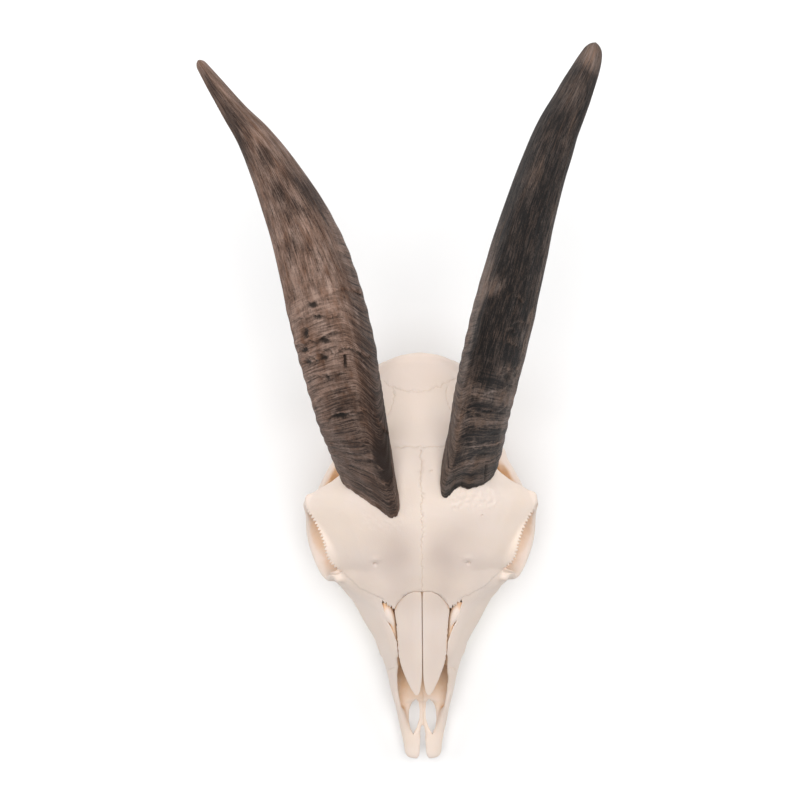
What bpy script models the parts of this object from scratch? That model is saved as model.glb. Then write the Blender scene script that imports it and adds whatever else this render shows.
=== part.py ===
"""A goat skull without its lower jaw: cranium, nasal bones, upper cheek teeth and horns.

Distances in the tables are millimetres. x is to the animal's left, s is the distance behind the tip of
the muzzle, and z is the height above the surface that the skull rests on. The skull faces -Y.
"""

import math

import bmesh
import bpy
import numpy as np
from mathutils import Matrix, Vector

MM = 0.001

# Driving dimensions, in millimetres
JOINT_GAP = 0.35
NASAL_THICK = 1.9
NASAL_ARCH = 4.2
NASAL_HALF = 14.0
SOCKET_TOP = 19.5
CROWN_GAP = 0.15
CROWN_TAPER = 0.10

# How finely forms melt together: the grain in millimetres, then the smoothing steps for forms and edges
VOXEL = 1.1
BLEND_STEPS = 9
EDGE_STEPS = 3

# How many triangles the bone, its hollows and the brow under the horns keep
BONE_TRIANGLES = 4560
HOLLOW_TRIANGLES = 9000
BROW_TRIANGLES = 1200

# Heights between which each plan outline is drawn up
TABLE_HEIGHTS = (-20, 0)
ROOT_HEIGHTS = (50, 83)
FONTANELLE_HEIGHTS = (52, 92)
TRENCH_FLOOR = -2
BED_CLEARANCE = 14

# Where the origin lies in the tables' frame: under the middle of the whole piece
ORIGIN_X = -9.20
ORIGIN_S = 180.70

SIDES = {"left": 1, "right": -1}

# The muzzle: s, then the left half of its outline from the midline above to the midline below
MUZZLE = [
    (31, [(0, 31), (11.5, 31), (14.2, 29), (15.4, 23.5), (15.4, 19), (13.8, 15.5), (0, 15)]),
    (38, [(0, 37), (12, 37), (15.3, 34), (16.9, 27.5), (17, 20), (15.2, 15.5), (0, 15)]),
    (46, [(0, 43.5), (12.8, 43.5), (16.3, 39.5), (18.3, 32), (18.6, 23), (16.6, 15), (0, 15)]),
    (53, [(0, 50), (12.8, 50), (17, 45), (20, 36), (20.5, 25), (18.5, 15), (0, 15.5)]),
    (60, [(0, 57.5), (14, 56.5), (18.8, 48), (22.2, 37), (22.6, 26), (20, 15), (0, 16)]),
    (68, [(0, 62.5), (15, 60.5), (21, 50), (26, 38), (26.3, 27), (23.5, 15), (0, 16.5)]),
    (76, [(0, 67), (17, 63.5), (24.5, 53), (30.8, 41), (30.2, 28), (26.8, 15), (0, 17)]),
    (85, [(0, 71), (20, 67.5), (29, 57.5), (35.6, 44), (33, 29), (29, 15), (0, 17)]),
    (92, [(0, 75), (24, 71.5), (35, 62), (39.6, 47.5), (35.5, 31), (31, 15.5), (0, 17.5)]),
    (99, [(0, 79.5), (29, 75.5), (42, 65), (46, 51), (38.5, 33), (32, 16), (0, 18)]),
    (107, [(0, 85), (29, 80), (43, 67), (48, 53), (38.5, 35), (32.5, 16.5), (0, 19)]),
    (114, [(0, 90), (24, 84), (38, 66), (46, 50), (36, 34), (31.5, 17.5), (0, 21)]),
    (120, [(0, 92), (18, 86), (27, 66), (33, 50), (29, 34), (27.5, 20), (0, 24)]),
    (126, [(0, 95), (15, 88), (18, 68), (19, 52), (17, 40), (14, 32), (0, 30)]),
]

BRAINCASE = [
    (100, [(0, 79), (12, 77), (17, 66), (16, 54), (12, 43), (8, 34), (0, 33)]),
    (115, [(0, 90), (13, 87), (19, 74), (18, 60), (13, 47), (9, 35), (0, 32)]),
    (130, [(0, 98), (15, 95), (21, 82), (20, 66), (15, 51), (10, 36), (0, 32)]),
    (145, [(0, 103.5), (18, 100), (25, 87), (25, 68), (19, 51), (11, 36), (0, 31.5)]),
    (158, [(0, 104.5), (20, 100), (29, 86), (30, 67), (24, 48), (12, 34), (0, 30)]),
    (170, [(0, 101.5), (20, 97), (30, 83), (33, 64), (28, 46), (13, 31), (0, 28)]),
    (182, [(0, 94), (19, 89.5), (28.5, 77), (32.5, 60), (29, 43), (13, 28), (0, 25.5)]),
    (194, [(0, 85.5), (17, 82), (25.5, 71.5), (30.5, 56), (28.5, 41), (13, 26), (0, 23.5)]),
    (204, [(0, 79), (14, 76.5), (22.5, 67.5), (28.5, 54), (27.5, 41), (13, 25.5), (0, 22)]),
    (210, [(0, 74.5), (12, 72.5), (19.5, 64.5), (25, 52), (24.5, 41), (13, 28), (0, 25)]),
    (214.5, [(0, 70), (9, 68.5), (14, 62), (18, 52), (17, 44), (9, 37), (0, 36)]),
]

# The roof over the eyes: s, half width, height on the midline, height at the rim, rim thickness
ROOF = [
    (86, 16, 71, 66, 2.0),
    (92, 29, 75, 65, 2.2),
    (98, 41, 79, 64, 2.5),
    (104, 43, 83.5, 68, 3.0),
    (109, 46, 87, 72.5, 3.2),
    (116, 49, 91.5, 76, 3.2),
    (123, 51.5, 95.5, 78, 3.2),
    (130, 54.5, 99, 78, 3.4),
    (136, 58.5, 101.5, 76, 3.6),
    (142, 59.5, 103.5, 74.5, 3.8),
    (147, 55, 104.8, 76.5, 3.8),
    (152, 46, 105.5, 80.5, 3.8),
    (158, 39, 105.5, 84, 4.5),
    (165, 34, 104, 87, 6),
    (172, 30, 101, 88, 8),
]

# Bars of bone on one side: x, s, z, half thickness, half height
ORBIT_CUP = [
    (53.5, 119, 60.3, 20.2, 20.0),
    (47, 121.8, 59.8, 19.5, 19.3),
    (40, 124.3, 59.2, 17.8, 17.6),
    (33, 126.8, 58.8, 15, 15),
]
CHEEK_ARCH = [
    (56.6, 134, 45.5, 2.8, 4.8),
    (54.2, 141, 44.5, 2.8, 5.0),
    (50.2, 149, 44.5, 3.2, 4.8),
    (45.0, 157, 45.5, 4.0, 4.4),
    (39.5, 164, 46.5, 4.6, 4.4),
    (34, 170, 48.5, 5.2, 5.6),
    (26, 175, 52, 6.5, 8.0),
]
POSTORBITAL_BAR = [
    (58.3, 141.5, 75, 2.4, 4.4),
    (58.6, 141.5, 64, 2.4, 3.8),
    (57.6, 140.5, 54, 2.4, 4.4),
    (56.2, 138.5, 46, 2.4, 5.5),
]
HALF_CREST = [
    (0, 216.2, 69.5, 2.8, 2.8),
    (12, 213.8, 67.5, 2.8, 3.0),
    (22, 208, 62, 2.6, 3.2),
    (28, 200, 52, 2.4, 3.2),
    (29.5, 195, 42, 2.4, 3.2),
]
JUGULAR_PROCESS = [
    (27, 196, 48, 4.0, 7.5),
    (26.5, 197.5, 36, 3.4, 7.5),
    (25.5, 197.5, 24, 2.6, 6.0),
    (24, 195.5, 12, 2.4, 4.4),
    (22.6, 192, 1.6, 2.0, 3.0),
    (22.2, 191.2, -1.6, 1.8, 2.6),
]
TABLE_OUTLINE = [(-60, 150), (60, 150), (60, 230), (-60, 230)]
ROOT_OUTLINE = [(-41, 118), (41, 118), (41, 176), (-41, 176)]
PTERYGOID_PLATE = [
    (10.5, 108, 27, 1.6, 9.0),
    (10.5, 120, 27, 1.5, 10.5),
    (10.5, 131, 28, 1.5, 10.5),
    (9.8, 140, 29, 1.5, 9.0),
    (9.2, 147, 31, 1.4, 6.0),
]
ALVEOLAR_RIDGE = [
    (18.3, 55, 17, 4.2, 4.5),
    (20.8, 66, 16.5, 5.2, 4.8),
    (24.2, 80, 16.5, 6.4, 5.0),
    (26.2, 95, 16.8, 7.4, 5.2),
    (26.6, 108, 17.5, 7.4, 5.6),
    (25.4, 118, 19, 6.4, 6.3),
]
FACIAL_CREST = [
    (33, 86, 38, 2.4, 3.0),
    (39.5, 94, 39, 2.8, 3.6),
    (45.5, 104, 39.5, 3.2, 4.2),
    (51.5, 116, 40.5, 3.2, 4.8),
    (55.5, 127, 43, 3.0, 4.8),
]
INCISIVE_BLADE = [
    (5.7, -1.8, 14.0, 3.0, 1.5),
    (5.8, 1.5, 14.6, 4.2, 2.2),
    (6.4, 7, 15.6, 4.4, 2.4),
    (9.2, 15, 17.8, 3.0, 3.0),
    (11.4, 24, 20.8, 2.4, 5.4),
    (13.2, 32, 24, 2.2, 8.5),
    (15.0, 40, 27.5, 2.0, 9.5),
]
PALATE_SHELF = [
    (7.6, 11, 16.5, 1.8, 1.7),
    (9.0, 17, 17, 2.6, 1.8),
    (10.0, 24, 17.5, 3.2, 1.9),
    (9.8, 30, 17.5, 4.4, 2.1),
    (8, 35, 17.5, 5.5, 2.2),
]
INCISIVE_ROD = [
    (4.0, 9, 15.5, 2.2, 1.6),
    (2.4, 16, 16.2, 1.8, 1.7),
    (1.6, 26, 16.8, 1.6, 1.9),
    (1.6, 38, 17, 1.8, 2.2),
    (2.0, 48, 17, 1.8, 2.4),
]

# Round the eye socket: x, s, z, half thickness of the rim, half depth outwards
ORBIT_RING = [
    (46, 108, 72, 2.8, 3.8),
    (50.0, 121, 77, 2.8, 3.8),
    (56.0, 133, 74.5, 2.8, 3.8),
    (58.6, 139.5, 62, 2.8, 3.6),
    (58.0, 134, 48, 2.8, 3.8),
    (56.6, 120, 41, 3.0, 4.2),
    (51.5, 107, 44, 3.0, 4.8),
    (46.4, 101.5, 57, 2.8, 4.8),
]
ORBIT_FACING = (0.90, -0.36, 0.22)

# Knobs of bone on one side: centre, radii, outward lean in degrees
KNOBS = {
    "condyle": ((12.8, 208.5, 32), (7.6, 7.8, 11.2), -28),
    "bulla": ((18.5, 176, 28), (6.8, 11.5, 10.5), 8),
    "ear_tube": ((29, 179, 43.5), (7.0, 6.0, 7.0), 0),
    "jaw_joint": ((36, 163.5, 45), (10.5, 8.0, 4.6), 0),
    "lacrimal_tubercle": ((44.8, 99.8, 65), (2.8, 2.8, 2.8), 0),
}

# The hollows
NASAL_CAVITY = [
    (28, [(0, 60), (10.6, 58), (11.2, 30), (12, 23.5), (10.5, 20.5), (0, 19.5)]),
    (38, [(0, 60), (12.2, 58), (12.8, 36), (13.6, 27), (12.8, 22.5), (0, 20)]),
    (46, [(0, 60), (12.4, 58), (13.2, 43), (15, 32), (14.8, 23.5), (0, 20)]),
    (53, [(0, 60), (11.8, 58), (12.8, 47), (16.4, 35.5), (16.6, 24.5), (0, 20)]),
    (60, [(0, 60), (11.4, 57), (14.6, 47), (18.2, 35.5), (16.5, 25.5), (0, 20.5)]),
    (72, [(0, 65), (12.2, 61), (18.5, 50), (23.5, 38), (16.5, 26.5), (0, 21.5)]),
    (84, [(0, 70), (12, 66), (19, 56), (26.5, 42), (17, 28.5), (0, 23)]),
    (92, [(0, 70), (9, 66), (15, 57), (18, 46), (12, 33), (0, 30)]),
    (104, [(0, 64), (7, 61), (10, 54), (8, 44), (6, 36), (0, 30)]),
    (124, [(0, 44), (6, 43), (7.6, 37), (8, 29), (7, 19), (0, 17)]),
    (136, [(0, 34), (5, 33), (7.4, 28), (7.8, 22), (7, 10), (0, 8)]),
]
ORBIT_FUNNEL = [
    (70, 110, 63.5, 21.5, 21.0),
    (58, 117, 60.8, 17.6, 17.4),
    (50, 120.5, 59.8, 16.9, 16.8),
    (40, 124, 59, 15.5, 15.5),
    (30, 127.5, 58.5, 12.5, 13.0),
    (23.5, 129.7, 58, 6.5, 8.5),
]
INFRAORBITAL_CANAL = [
    (27, 52, 30.5, 2.2, 2.8),
    (20, 64, 34.5, 2.2, 2.8),
    (16, 72, 37, 2.2, 2.8),
]
EAR_HOLE = [
    (40, 178.5, 45, 2.8, 2.8),
    (29, 179, 43.5, 2.6, 2.6),
]
FORAMEN_MAGNUM = [
    (0, 226, 41, 9.5, 9.0),
    (0, 212, 41.5, 9.5, 9.2),
    (0, 196, 47, 11, 10.5),
    (0, 182, 53, 13, 12.5),
]
BRAIN = ((0, 177, 63), (22, 27, 19))
TEMPORAL_FOSSA = ((42.5, 149, 61), (10.0, 16.0, 14.5))
ORBIT_NOTCH = ((45.5, 104.6, 68.2), (4.2, 1.8, 2.8))
FONTANELLE = [
    (14.0, 83.2), (17.3, 85.2), (20.8, 88.8), (20.4, 84.5),
    (18.6, 78.5), (16, 72), (13.4, 66.5), (11, 74),
]

# Nasal bones: s, inner edge, outer edge, height on the midline
NASAL = [
    (38.3, 2.4, 3.4, 49.0),
    (40, 1.4, 5.4, 50.0),
    (46.7, 0.4, 8.9, 53.6),
    (54.2, 0.3, 11.5, 57.4),
    (61.6, 0.3, 12.8, 61.0),
    (68, 0.3, 13.1, 64.0),
    (76.5, 0.3, 13.6, 68.0),
    (83.5, 0.3, 14.2, 71.4),
    (87.8, 0.3, 12.2, 73.6),
    (91.6, 0.4, 8.4, 75.6),
    (93.6, 0.8, 4.6, 76.6),
]

# Upper cheek teeth from front to back: name, middle x, front s, length, width
TEETH = [
    ("premolar_2", 18.6, 56.0, 7.6, 5.8),
    ("premolar_3", 21.0, 63.9, 8.6, 8.0),
    ("premolar_4", 23.4, 72.8, 8.8, 9.6),
    ("molar_1", 25.4, 81.9, 11.4, 11.4),
    ("molar_2", 26.4, 93.6, 12.8, 12.2),
    ("molar_3", 26.2, 106.7, 12.6, 11.2),
]

# A cheek tooth's outline from its front inner corner, along the cheek side: across and along
TOOTH_OUTLINE = [
    (-0.30, -0.50), (0.20, -0.50), (0.50, -0.44), (0.40, -0.22), (0.50, -0.02), (0.40, 0.22),
    (0.50, 0.44), (0.20, 0.50), (-0.30, 0.50), (-0.50, 0.26), (-0.40, 0.0), (-0.50, -0.26),
]

# Horns. A path point is x, s, z, half breadth, half depth from keel to back
HORN_PATHS = {
    "left": [
        (20.4, 147, 80, 13.6, 19.5),
        (22.2, 160, 98, 14.1, 20.0),
        (25.8, 175, 118, 14.3, 20.0),
        (29.6, 196, 139, 15.1, 19.5),
        (39.0, 236, 167, 15.5, 18.2),
        (51.9, 283, 187, 12.9, 14.4),
        (64.1, 318, 195, 10.7, 11.2),
        (73.9, 338, 197, 8.5, 8.7),
        (80.9, 353, 198, 6.2, 6.3),
        (84.2, 362.0, 198, 3.5, 3.5),
    ],
    "right": [
        (22.3, 142, 80, 13.4, 20.5),
        (24.8, 155, 98, 13.9, 21.0),
        (28.6, 170, 118, 15.5, 21.0),
        (33.1, 189, 138, 18.0, 20.5),
        (41.6, 229, 165, 19.8, 18.8),
        (53.7, 272, 184, 16.7, 15.8),
        (72.1, 310, 193, 10.4, 11.2),
        (86.8, 331, 195.5, 6.1, 7.0),
        (97.5, 346, 196.5, 4.5, 4.8),
        (103.5, 354.6, 197, 3.0, 3.0),
    ],
}

# How far the keel is turned towards the midline at the root and at the tip, in degrees
KEEL_TURN = (26.0, 4.0)

# A horn's outline from the keel round one side: across and towards the keel
HORN_OUTLINE = [
    (0.0, 1.0), (0.24, 0.82), (0.60, 0.44), (0.90, 0.02),
    (1.0, -0.38), (0.84, -0.74), (0.48, -0.95), (0.0, -1.0),
]

# Colours of bone, tooth and horn
MATERIALS = {
    "bone": ((0.83, 0.73, 0.60), 0.55),
    "tooth": ((0.80, 0.72, 0.58), 0.35),
    "horn_left": ((0.045, 0.035, 0.030), 0.60),
    "horn_right": ((0.13, 0.085, 0.055), 0.65),
}


# Curves and skins

def through(points, count):
    """count points along a smooth line through the given ones."""
    p = np.array(points, float)
    p = np.vstack([2 * p[0] - p[1], p, 2 * p[-1] - p[-2]])
    place = np.linspace(0, len(p) - 3, count)
    first = np.minimum(place.astype(int), len(p) - 4)
    return spline([p[first + i] for i in range(4)], (place - first)[:, None])


def round_through(points, count):
    """count points round a smooth closed line through the given ones."""
    p = np.array(points, float)
    place = np.arange(count) * len(p) / count
    first = place.astype(int)
    return spline([p[(first + i) % len(p)] for i in (-1, 0, 1, 2)], (place - first)[:, None])


def spline(corners, f):
    """The Catmull-Rom curve between the middle two of four corners."""
    a, b, c, d = corners
    bend = 2 * a - 5 * b + 4 * c - d
    turn = 3 * b - a - 3 * c + d
    return 0.5 * (2 * b + (c - a) * f + bend * f**2 + turn * f**3)


def unit(rows):
    return rows / np.linalg.norm(rows, axis=1)[:, None]


def placed(point):
    """A point of the tables, in metres in the part's frame."""
    x, s, z = point
    return Vector(((x - ORIGIN_X) * MM, (s - ORIGIN_S) * MM, z * MM))


def made(name, bm):
    mesh = bpy.data.meshes.new(name)
    bm.to_mesh(mesh)
    bm.free()
    return bpy.data.objects.new(name, mesh)


def body(name, rings, closed=False):
    """A mesh over rings of points that all have the same count: capped at its ends, or a hoop."""
    bm = bmesh.new()
    loops = [[bm.verts.new(placed(p)) for p in ring] for ring in rings]
    count = len(loops[0])
    pairs = list(zip(loops, loops[1:]))
    if closed:
        pairs.append((loops[-1], loops[0]))
    for low, high in pairs:
        for i in range(count):
            j = (i + 1) % count
            bm.faces.new((low[i], low[j], high[j], high[i]))
    if not closed:
        bm.faces.new(loops[0][::-1])
        bm.faces.new(loops[-1])
    bmesh.ops.recalc_face_normals(bm, faces=bm.faces)
    return made(name, bm)


def skin(name, stations, around=36, along=60):
    """A body that is the same on both sides, through outlines of its left half."""
    half = np.array([[(x, s, z) for x, z in outline] for s, outline in stations], float)
    lines = np.stack([through(half[:, j], along) for j in range(half.shape[1])], axis=1)
    rings = []
    for ring in lines:
        other = ring[-2:0:-1] * (-1, 1, 1)
        rings.append(round_through(np.vstack([ring, other]), around))
    return body(name, rings)


def ovals(centres, radii, first, second, around):
    """Rings of oval section: the two radii of each lie along its first and its second direction."""
    turn = np.linspace(0, 2 * math.pi, around, endpoint=False)
    rings = []
    for centre, (a, b), one, other in zip(centres, radii, first, second):
        rings.append(centre + np.outer(a * np.cos(turn), one) + np.outer(b * np.sin(turn), other))
    return rings


def strut(name, path, side=1, up=(0, 0, 1), around=16):
    """A bar of oval section along a path, its height measured along the direction up."""
    line = through(path, 6 * len(path))
    centre = line[:, :3] * (side, 1, 1)
    run = unit(np.gradient(centre, axis=0))
    across = unit(np.cross(run, np.array(up, float) * (side, 1, 1)))
    upward = np.cross(across, run)
    return body(name, ovals(centre, line[:, 3:], across, upward, around))


def hoop(name, path, facing, side=1, around=12):
    """A closed bar of oval section, its depth measured along the direction facing."""
    line = round_through(path, 8 * len(path))
    centre = line[:, :3] * (side, 1, 1)
    run = unit(np.roll(centre, -1, axis=0) - np.roll(centre, 1, axis=0))
    outward = unit(np.cross(run, np.array(facing, float) * (side, 1, 1)))
    depth = np.cross(outward, run)
    return body(name, ovals(centre, line[:, 3:], outward, depth, around), closed=True)


def ball(name, centre, radii, side=1, lean=0.0):
    """An ellipsoid, leaned outwards by an angle in degrees about the skull's long axis."""
    bm = bmesh.new()
    bmesh.ops.create_uvsphere(bm, u_segments=24, v_segments=16, radius=1.0)
    x, s, z = centre
    turn = Matrix.Rotation(math.radians(side * lean), 4, "Y")
    size = Matrix.Diagonal((*(r * MM for r in radii), 1.0))
    place = Matrix.Translation(placed((side * x, s, z)))
    bmesh.ops.transform(bm, matrix=place @ turn @ size, verts=bm.verts)
    return made(name, bm)


def prism(name, outline, heights, side=1):
    """A plan outline of (x, s) points, drawn up from one height to another."""
    return body(name, [np.array([(side * x, s, z) for x, s in outline]) for z in heights])


def joined(name, bodies):
    bm = bmesh.new()
    for obj in bodies:
        bm.from_mesh(obj.data)
        bpy.data.meshes.remove(obj.data)
    return made(name, bm)


# Steps that work on a whole piece

def fused(obj, steps):
    """Melt overlapping bodies into one skin and soften its creases."""
    fuse = obj.modifiers.new("fuse", "REMESH")
    fuse.mode = "VOXEL"
    fuse.voxel_size = VOXEL * MM
    soften = obj.modifiers.new("soften", "SMOOTH")
    soften.factor = 0.5
    soften.iterations = steps
    return obj


def thinned(obj, triangles):
    """Bring a piece down to a number of triangles. The ratio needs its count up to this step."""
    bpy.context.view_layer.update()
    seen = obj.evaluated_get(bpy.context.evaluated_depsgraph_get()).data
    have = sum(len(p.vertices) - 2 for p in seen.polygons)
    thin = obj.modifiers.new("thin", "DECIMATE")
    thin.ratio = min(1.0, triangles / have)
    return obj


def cut(obj, cutter):
    step = obj.modifiers.new("cut_" + cutter.name, "BOOLEAN")
    step.operation = "DIFFERENCE"
    step.object = cutter
    step.solver = "EXACT"


# Bone

def roof_stations():
    stations = []
    for s, width, top, rim, thick in ROOF:
        fall = top - rim
        outline = [(0, top), (0.35 * width, top - 0.06 * fall), (0.68 * width, top - 0.36 * fall),
                   (0.97 * width, rim + 0.03 * fall), (0.99 * width, rim - thick),
                   (0.66 * width, rim + 0.42 * fall - 1.6 * thick), (0.33 * width, rim - 6), (0, rim - 8)]
        stations.append((s, outline))
    return stations


def bone_bodies():
    bodies = [skin("muzzle", MUZZLE), skin("braincase", BRAINCASE), skin("roof", roof_stations())]
    for side in SIDES.values():
        bodies.append(hoop("orbit_ring", ORBIT_RING, ORBIT_FACING, side))
        bodies.append(strut("orbit_cup", ORBIT_CUP, side, around=32))
        bodies.append(strut("cheek_arch", CHEEK_ARCH, side))
        bodies.append(strut("postorbital_bar", POSTORBITAL_BAR, side, up=(0, 1, 0)))
        bodies.append(strut("crest", HALF_CREST, side))
        bodies.append(strut("jugular_process", JUGULAR_PROCESS, side, up=(0, 1, 0.2)))
        bodies.append(strut("pterygoid_plate", PTERYGOID_PLATE, side))
        bodies.append(strut("alveolar_ridge", ALVEOLAR_RIDGE, side))
        bodies.append(strut("facial_crest", FACIAL_CREST, side))
        bodies.append(strut("incisive_blade", INCISIVE_BLADE, side))
        bodies.append(strut("palate_shelf", PALATE_SHELF, side))
        bodies.append(strut("incisive_rod", INCISIVE_ROD, side))
        for name, (centre, radii, lean) in KNOBS.items():
            bodies.append(ball(name, centre, radii, side, lean))
    return bodies


def hollow_bodies():
    bodies = [skin("nasal_cavity", NASAL_CAVITY), ball("brain", *BRAIN)]
    bodies.append(strut("foramen_magnum", FORAMEN_MAGNUM))
    for side in SIDES.values():
        bodies.append(strut("orbit", ORBIT_FUNNEL, side, around=32))
        bodies.append(ball("temporal_fossa", *TEMPORAL_FOSSA, side))
        bodies.append(ball("orbit_notch", *ORBIT_NOTCH, side))
        bodies.append(strut("infraorbital_canal", INFRAORBITAL_CANAL, side))
        bodies.append(strut("ear_hole", EAR_HOLE, side))
    return bodies


def arched(x, height):
    """The height of a nasal bone's upper face at a distance x from the midline."""
    return height - NASAL_ARCH * (np.abs(x) / NASAL_HALF) ** 2.2


def nasal_bone(name, side, across=5, along=18):
    rings = []
    for s, inner, outer, height in through(NASAL, along):
        x = np.linspace(inner, max(outer, inner + 0.6), across)
        above = arched(x, height)
        edge = np.clip(4 * np.minimum(x - x[0], x[-1] - x) / (x[-1] - x[0]), 0.35, 1)
        top = [(side * a, s, b) for a, b in zip(x, above)]
        under = [(side * a, s, b - NASAL_THICK * e) for a, b, e in zip(x[::-1], above[::-1], edge[::-1])]
        rings.append(np.array(top + under))
    return body(name, rings)


def nasal_bed(across=9, along=18):
    """What the two nasal bones take out of the roof that they lie in."""
    rings = []
    for s, _, outer, height in through(NASAL, along):
        x = np.linspace(-outer - JOINT_GAP, outer + JOINT_GAP, across)
        back = s + JOINT_GAP * (s > 90)
        under = [(a, back, b - NASAL_THICK - JOINT_GAP) for a, b in zip(x, arched(x, height))]
        top = [(a, back, height + BED_CLEARANCE) for a in x[::-1]]
        rings.append(np.array(under + top))
    return body("nasal_bed", rings)


# Teeth

def tooth(name, side, middle, front, length, width, around=16):
    """A tall-crowned cheek tooth, its worn face flat at the bottom."""
    outline = round_through(TOOTH_OUTLINE, around)
    rings = []
    for z in np.linspace(0, SOCKET_TOP - JOINT_GAP, 3):
        taper = 1 - CROWN_TAPER * z / SOCKET_TOP
        x = middle + outline[:, 0] * width * taper
        s = front + length / 2 + outline[:, 1] * (length - 2 * CROWN_GAP)
        rings.append(np.column_stack([side * x, s, np.full(around, z)]))
    return body(name, rings)


def tooth_trench(name, side):
    """The groove that holds one row of teeth, a joint gap wider than they are."""
    inner = []
    outer = []
    for _, middle, front, length, width in TEETH:
        for s in (front, front + length):
            inner.append((middle - width / 2 - JOINT_GAP, s))
            outer.append((middle + width / 2 + JOINT_GAP, s))
    for line in (inner, outer):
        line[0] = (line[0][0], line[0][1] - JOINT_GAP)
        line[-1] = (line[-1][0], line[-1][1] + JOINT_GAP)
    return prism(name, inner + outer[::-1], (TRENCH_FLOOR, SOCKET_TOP), side)


# Horns

def horn_section(around):
    half = HORN_OUTLINE
    whole = half + [(-x, y) for x, y in half[-2:0:-1]]
    return round_through(whole, around)


def horn_body(name, which, around, along):
    """A horn from its root inside the brow to its tip."""
    side = SIDES[which]
    line = through(HORN_PATHS[which], along)
    centre = line[:, :3] * (side, 1, 1)
    run = unit(np.gradient(centre, axis=0))
    across = unit(np.cross(run, (0, 0, 1.0)))
    keelward = np.cross(across, run)
    section = horn_section(around)
    rings = []
    for i, twist in enumerate(np.radians(side * np.linspace(*KEEL_TURN, along))):
        half_breadth, half_depth = line[i, 3:]
        right = np.cos(twist) * across[i] + np.sin(twist) * keelward[i]
        top = -np.sin(twist) * across[i] + np.cos(twist) * keelward[i]
        rings.append(centre[i] + np.outer(half_breadth * section[:, 0], right)
                     + np.outer(half_depth * section[:, 1], top))
    return body(name, rings)


# Putting it together

def material(name, colour, roughness):
    mat = bpy.data.materials.new(name)
    mat.use_nodes = True
    shader = mat.node_tree.nodes["Principled BSDF"]
    shader.inputs["Base Color"].default_value = (*colour, 1.0)
    shader.inputs["Roughness"].default_value = roughness
    shader.inputs["Metallic"].default_value = 0.0
    return mat


def shown(obj, mat, parts):
    obj.data.materials.append(mat)
    parts.objects.link(obj)
    return obj


def kept_as_cutter(obj, cutters):
    cutters.objects.link(obj)
    obj.hide_render = True
    obj.display_type = "WIRE"
    return obj


def main():
    for obj in list(bpy.data.objects):
        bpy.data.objects.remove(obj)
    parts = bpy.data.collections.new("goat_skull")
    cutters = bpy.data.collections.new("cutters")
    for collection in (parts, cutters):
        bpy.context.scene.collection.children.link(collection)
    colours = {name: material(name, *values) for name, values in MATERIALS.items()}

    cranium = shown(fused(joined("cranium", bone_bodies()), BLEND_STEPS), colours["bone"], parts)
    hollows = kept_as_cutter(fused(joined("hollows", hollow_bodies()), EDGE_STEPS), cutters)
    cut(cranium, thinned(hollows, HOLLOW_TRIANGLES))
    fused(cranium, EDGE_STEPS)
    thinned(cranium, BONE_TRIANGLES)
    cut(cranium, kept_as_cutter(nasal_bed(), cutters))
    cut(cranium, kept_as_cutter(prism("table", TABLE_OUTLINE, TABLE_HEIGHTS), cutters))

    brow = [skin("braincase", BRAINCASE), skin("roof", roof_stations())]
    brow.append(prism("root", ROOT_OUTLINE, ROOT_HEIGHTS))
    brow = kept_as_cutter(fused(joined("brow", brow), BLEND_STEPS), cutters)
    swell = brow.modifiers.new("swell", "DISPLACE")
    swell.strength = 2 * JOINT_GAP * MM
    swell.mid_level = 0.0
    thinned(brow, BROW_TRIANGLES)

    for which, side in SIDES.items():
        gap = prism(f"fontanelle_{which}", FONTANELLE, FONTANELLE_HEIGHTS, side)
        cut(cranium, kept_as_cutter(gap, cutters))
        cut(cranium, kept_as_cutter(tooth_trench(f"tooth_trench_{which}", side), cutters))
        shown(nasal_bone(f"nasal_bone_{which}", side), colours["bone"], parts)
        for name, *sizes in TEETH:
            shown(tooth(f"{name}_{which}", side, *sizes), colours["tooth"], parts)
        cut(shown(horn_body(f"horn_{which}", which, 20, 28), colours[f"horn_{which}"], parts), brow)


main()
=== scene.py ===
"""A dry goat skull: creamy bone, worn cheek teeth and weathered horns, on a pale floor.

Distances in the tables are millimetres. x is to the animal's left, s is the distance behind the tip of
the muzzle, and z is the height above the surface that the skull rests on.
"""

import math

import bmesh
import bpy
import numpy as np
from mathutils import Matrix, Vector, noise
from mathutils.bvhtree import BVHTree


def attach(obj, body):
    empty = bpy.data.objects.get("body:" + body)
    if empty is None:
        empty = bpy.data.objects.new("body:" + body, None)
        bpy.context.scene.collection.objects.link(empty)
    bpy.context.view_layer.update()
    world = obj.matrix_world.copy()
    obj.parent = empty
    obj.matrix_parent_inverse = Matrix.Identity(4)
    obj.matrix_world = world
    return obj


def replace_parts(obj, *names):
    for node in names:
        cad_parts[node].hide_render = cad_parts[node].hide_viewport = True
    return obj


bl_info = {
    "name": "Goat Skull",
    "version": (1, 0, 0),
    "blender": (4, 5, 0),
    "location": "3D View > Sidebar > Goat Skull",
    "description": "Builds the skull's bone, teeth and horns over its packed solids",
    "category": "Object",
}

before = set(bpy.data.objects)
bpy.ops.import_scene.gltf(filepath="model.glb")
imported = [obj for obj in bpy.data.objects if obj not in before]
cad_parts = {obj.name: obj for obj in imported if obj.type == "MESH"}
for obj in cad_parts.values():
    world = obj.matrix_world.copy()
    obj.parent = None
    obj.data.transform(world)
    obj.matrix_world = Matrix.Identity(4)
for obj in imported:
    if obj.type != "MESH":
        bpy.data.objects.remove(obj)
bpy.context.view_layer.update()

MM = 0.001
ORIGIN = np.array((-9.20, 180.70, 0.0))
SIDES = {"left": 1, "right": -1}


# The skull's own measures

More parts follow.
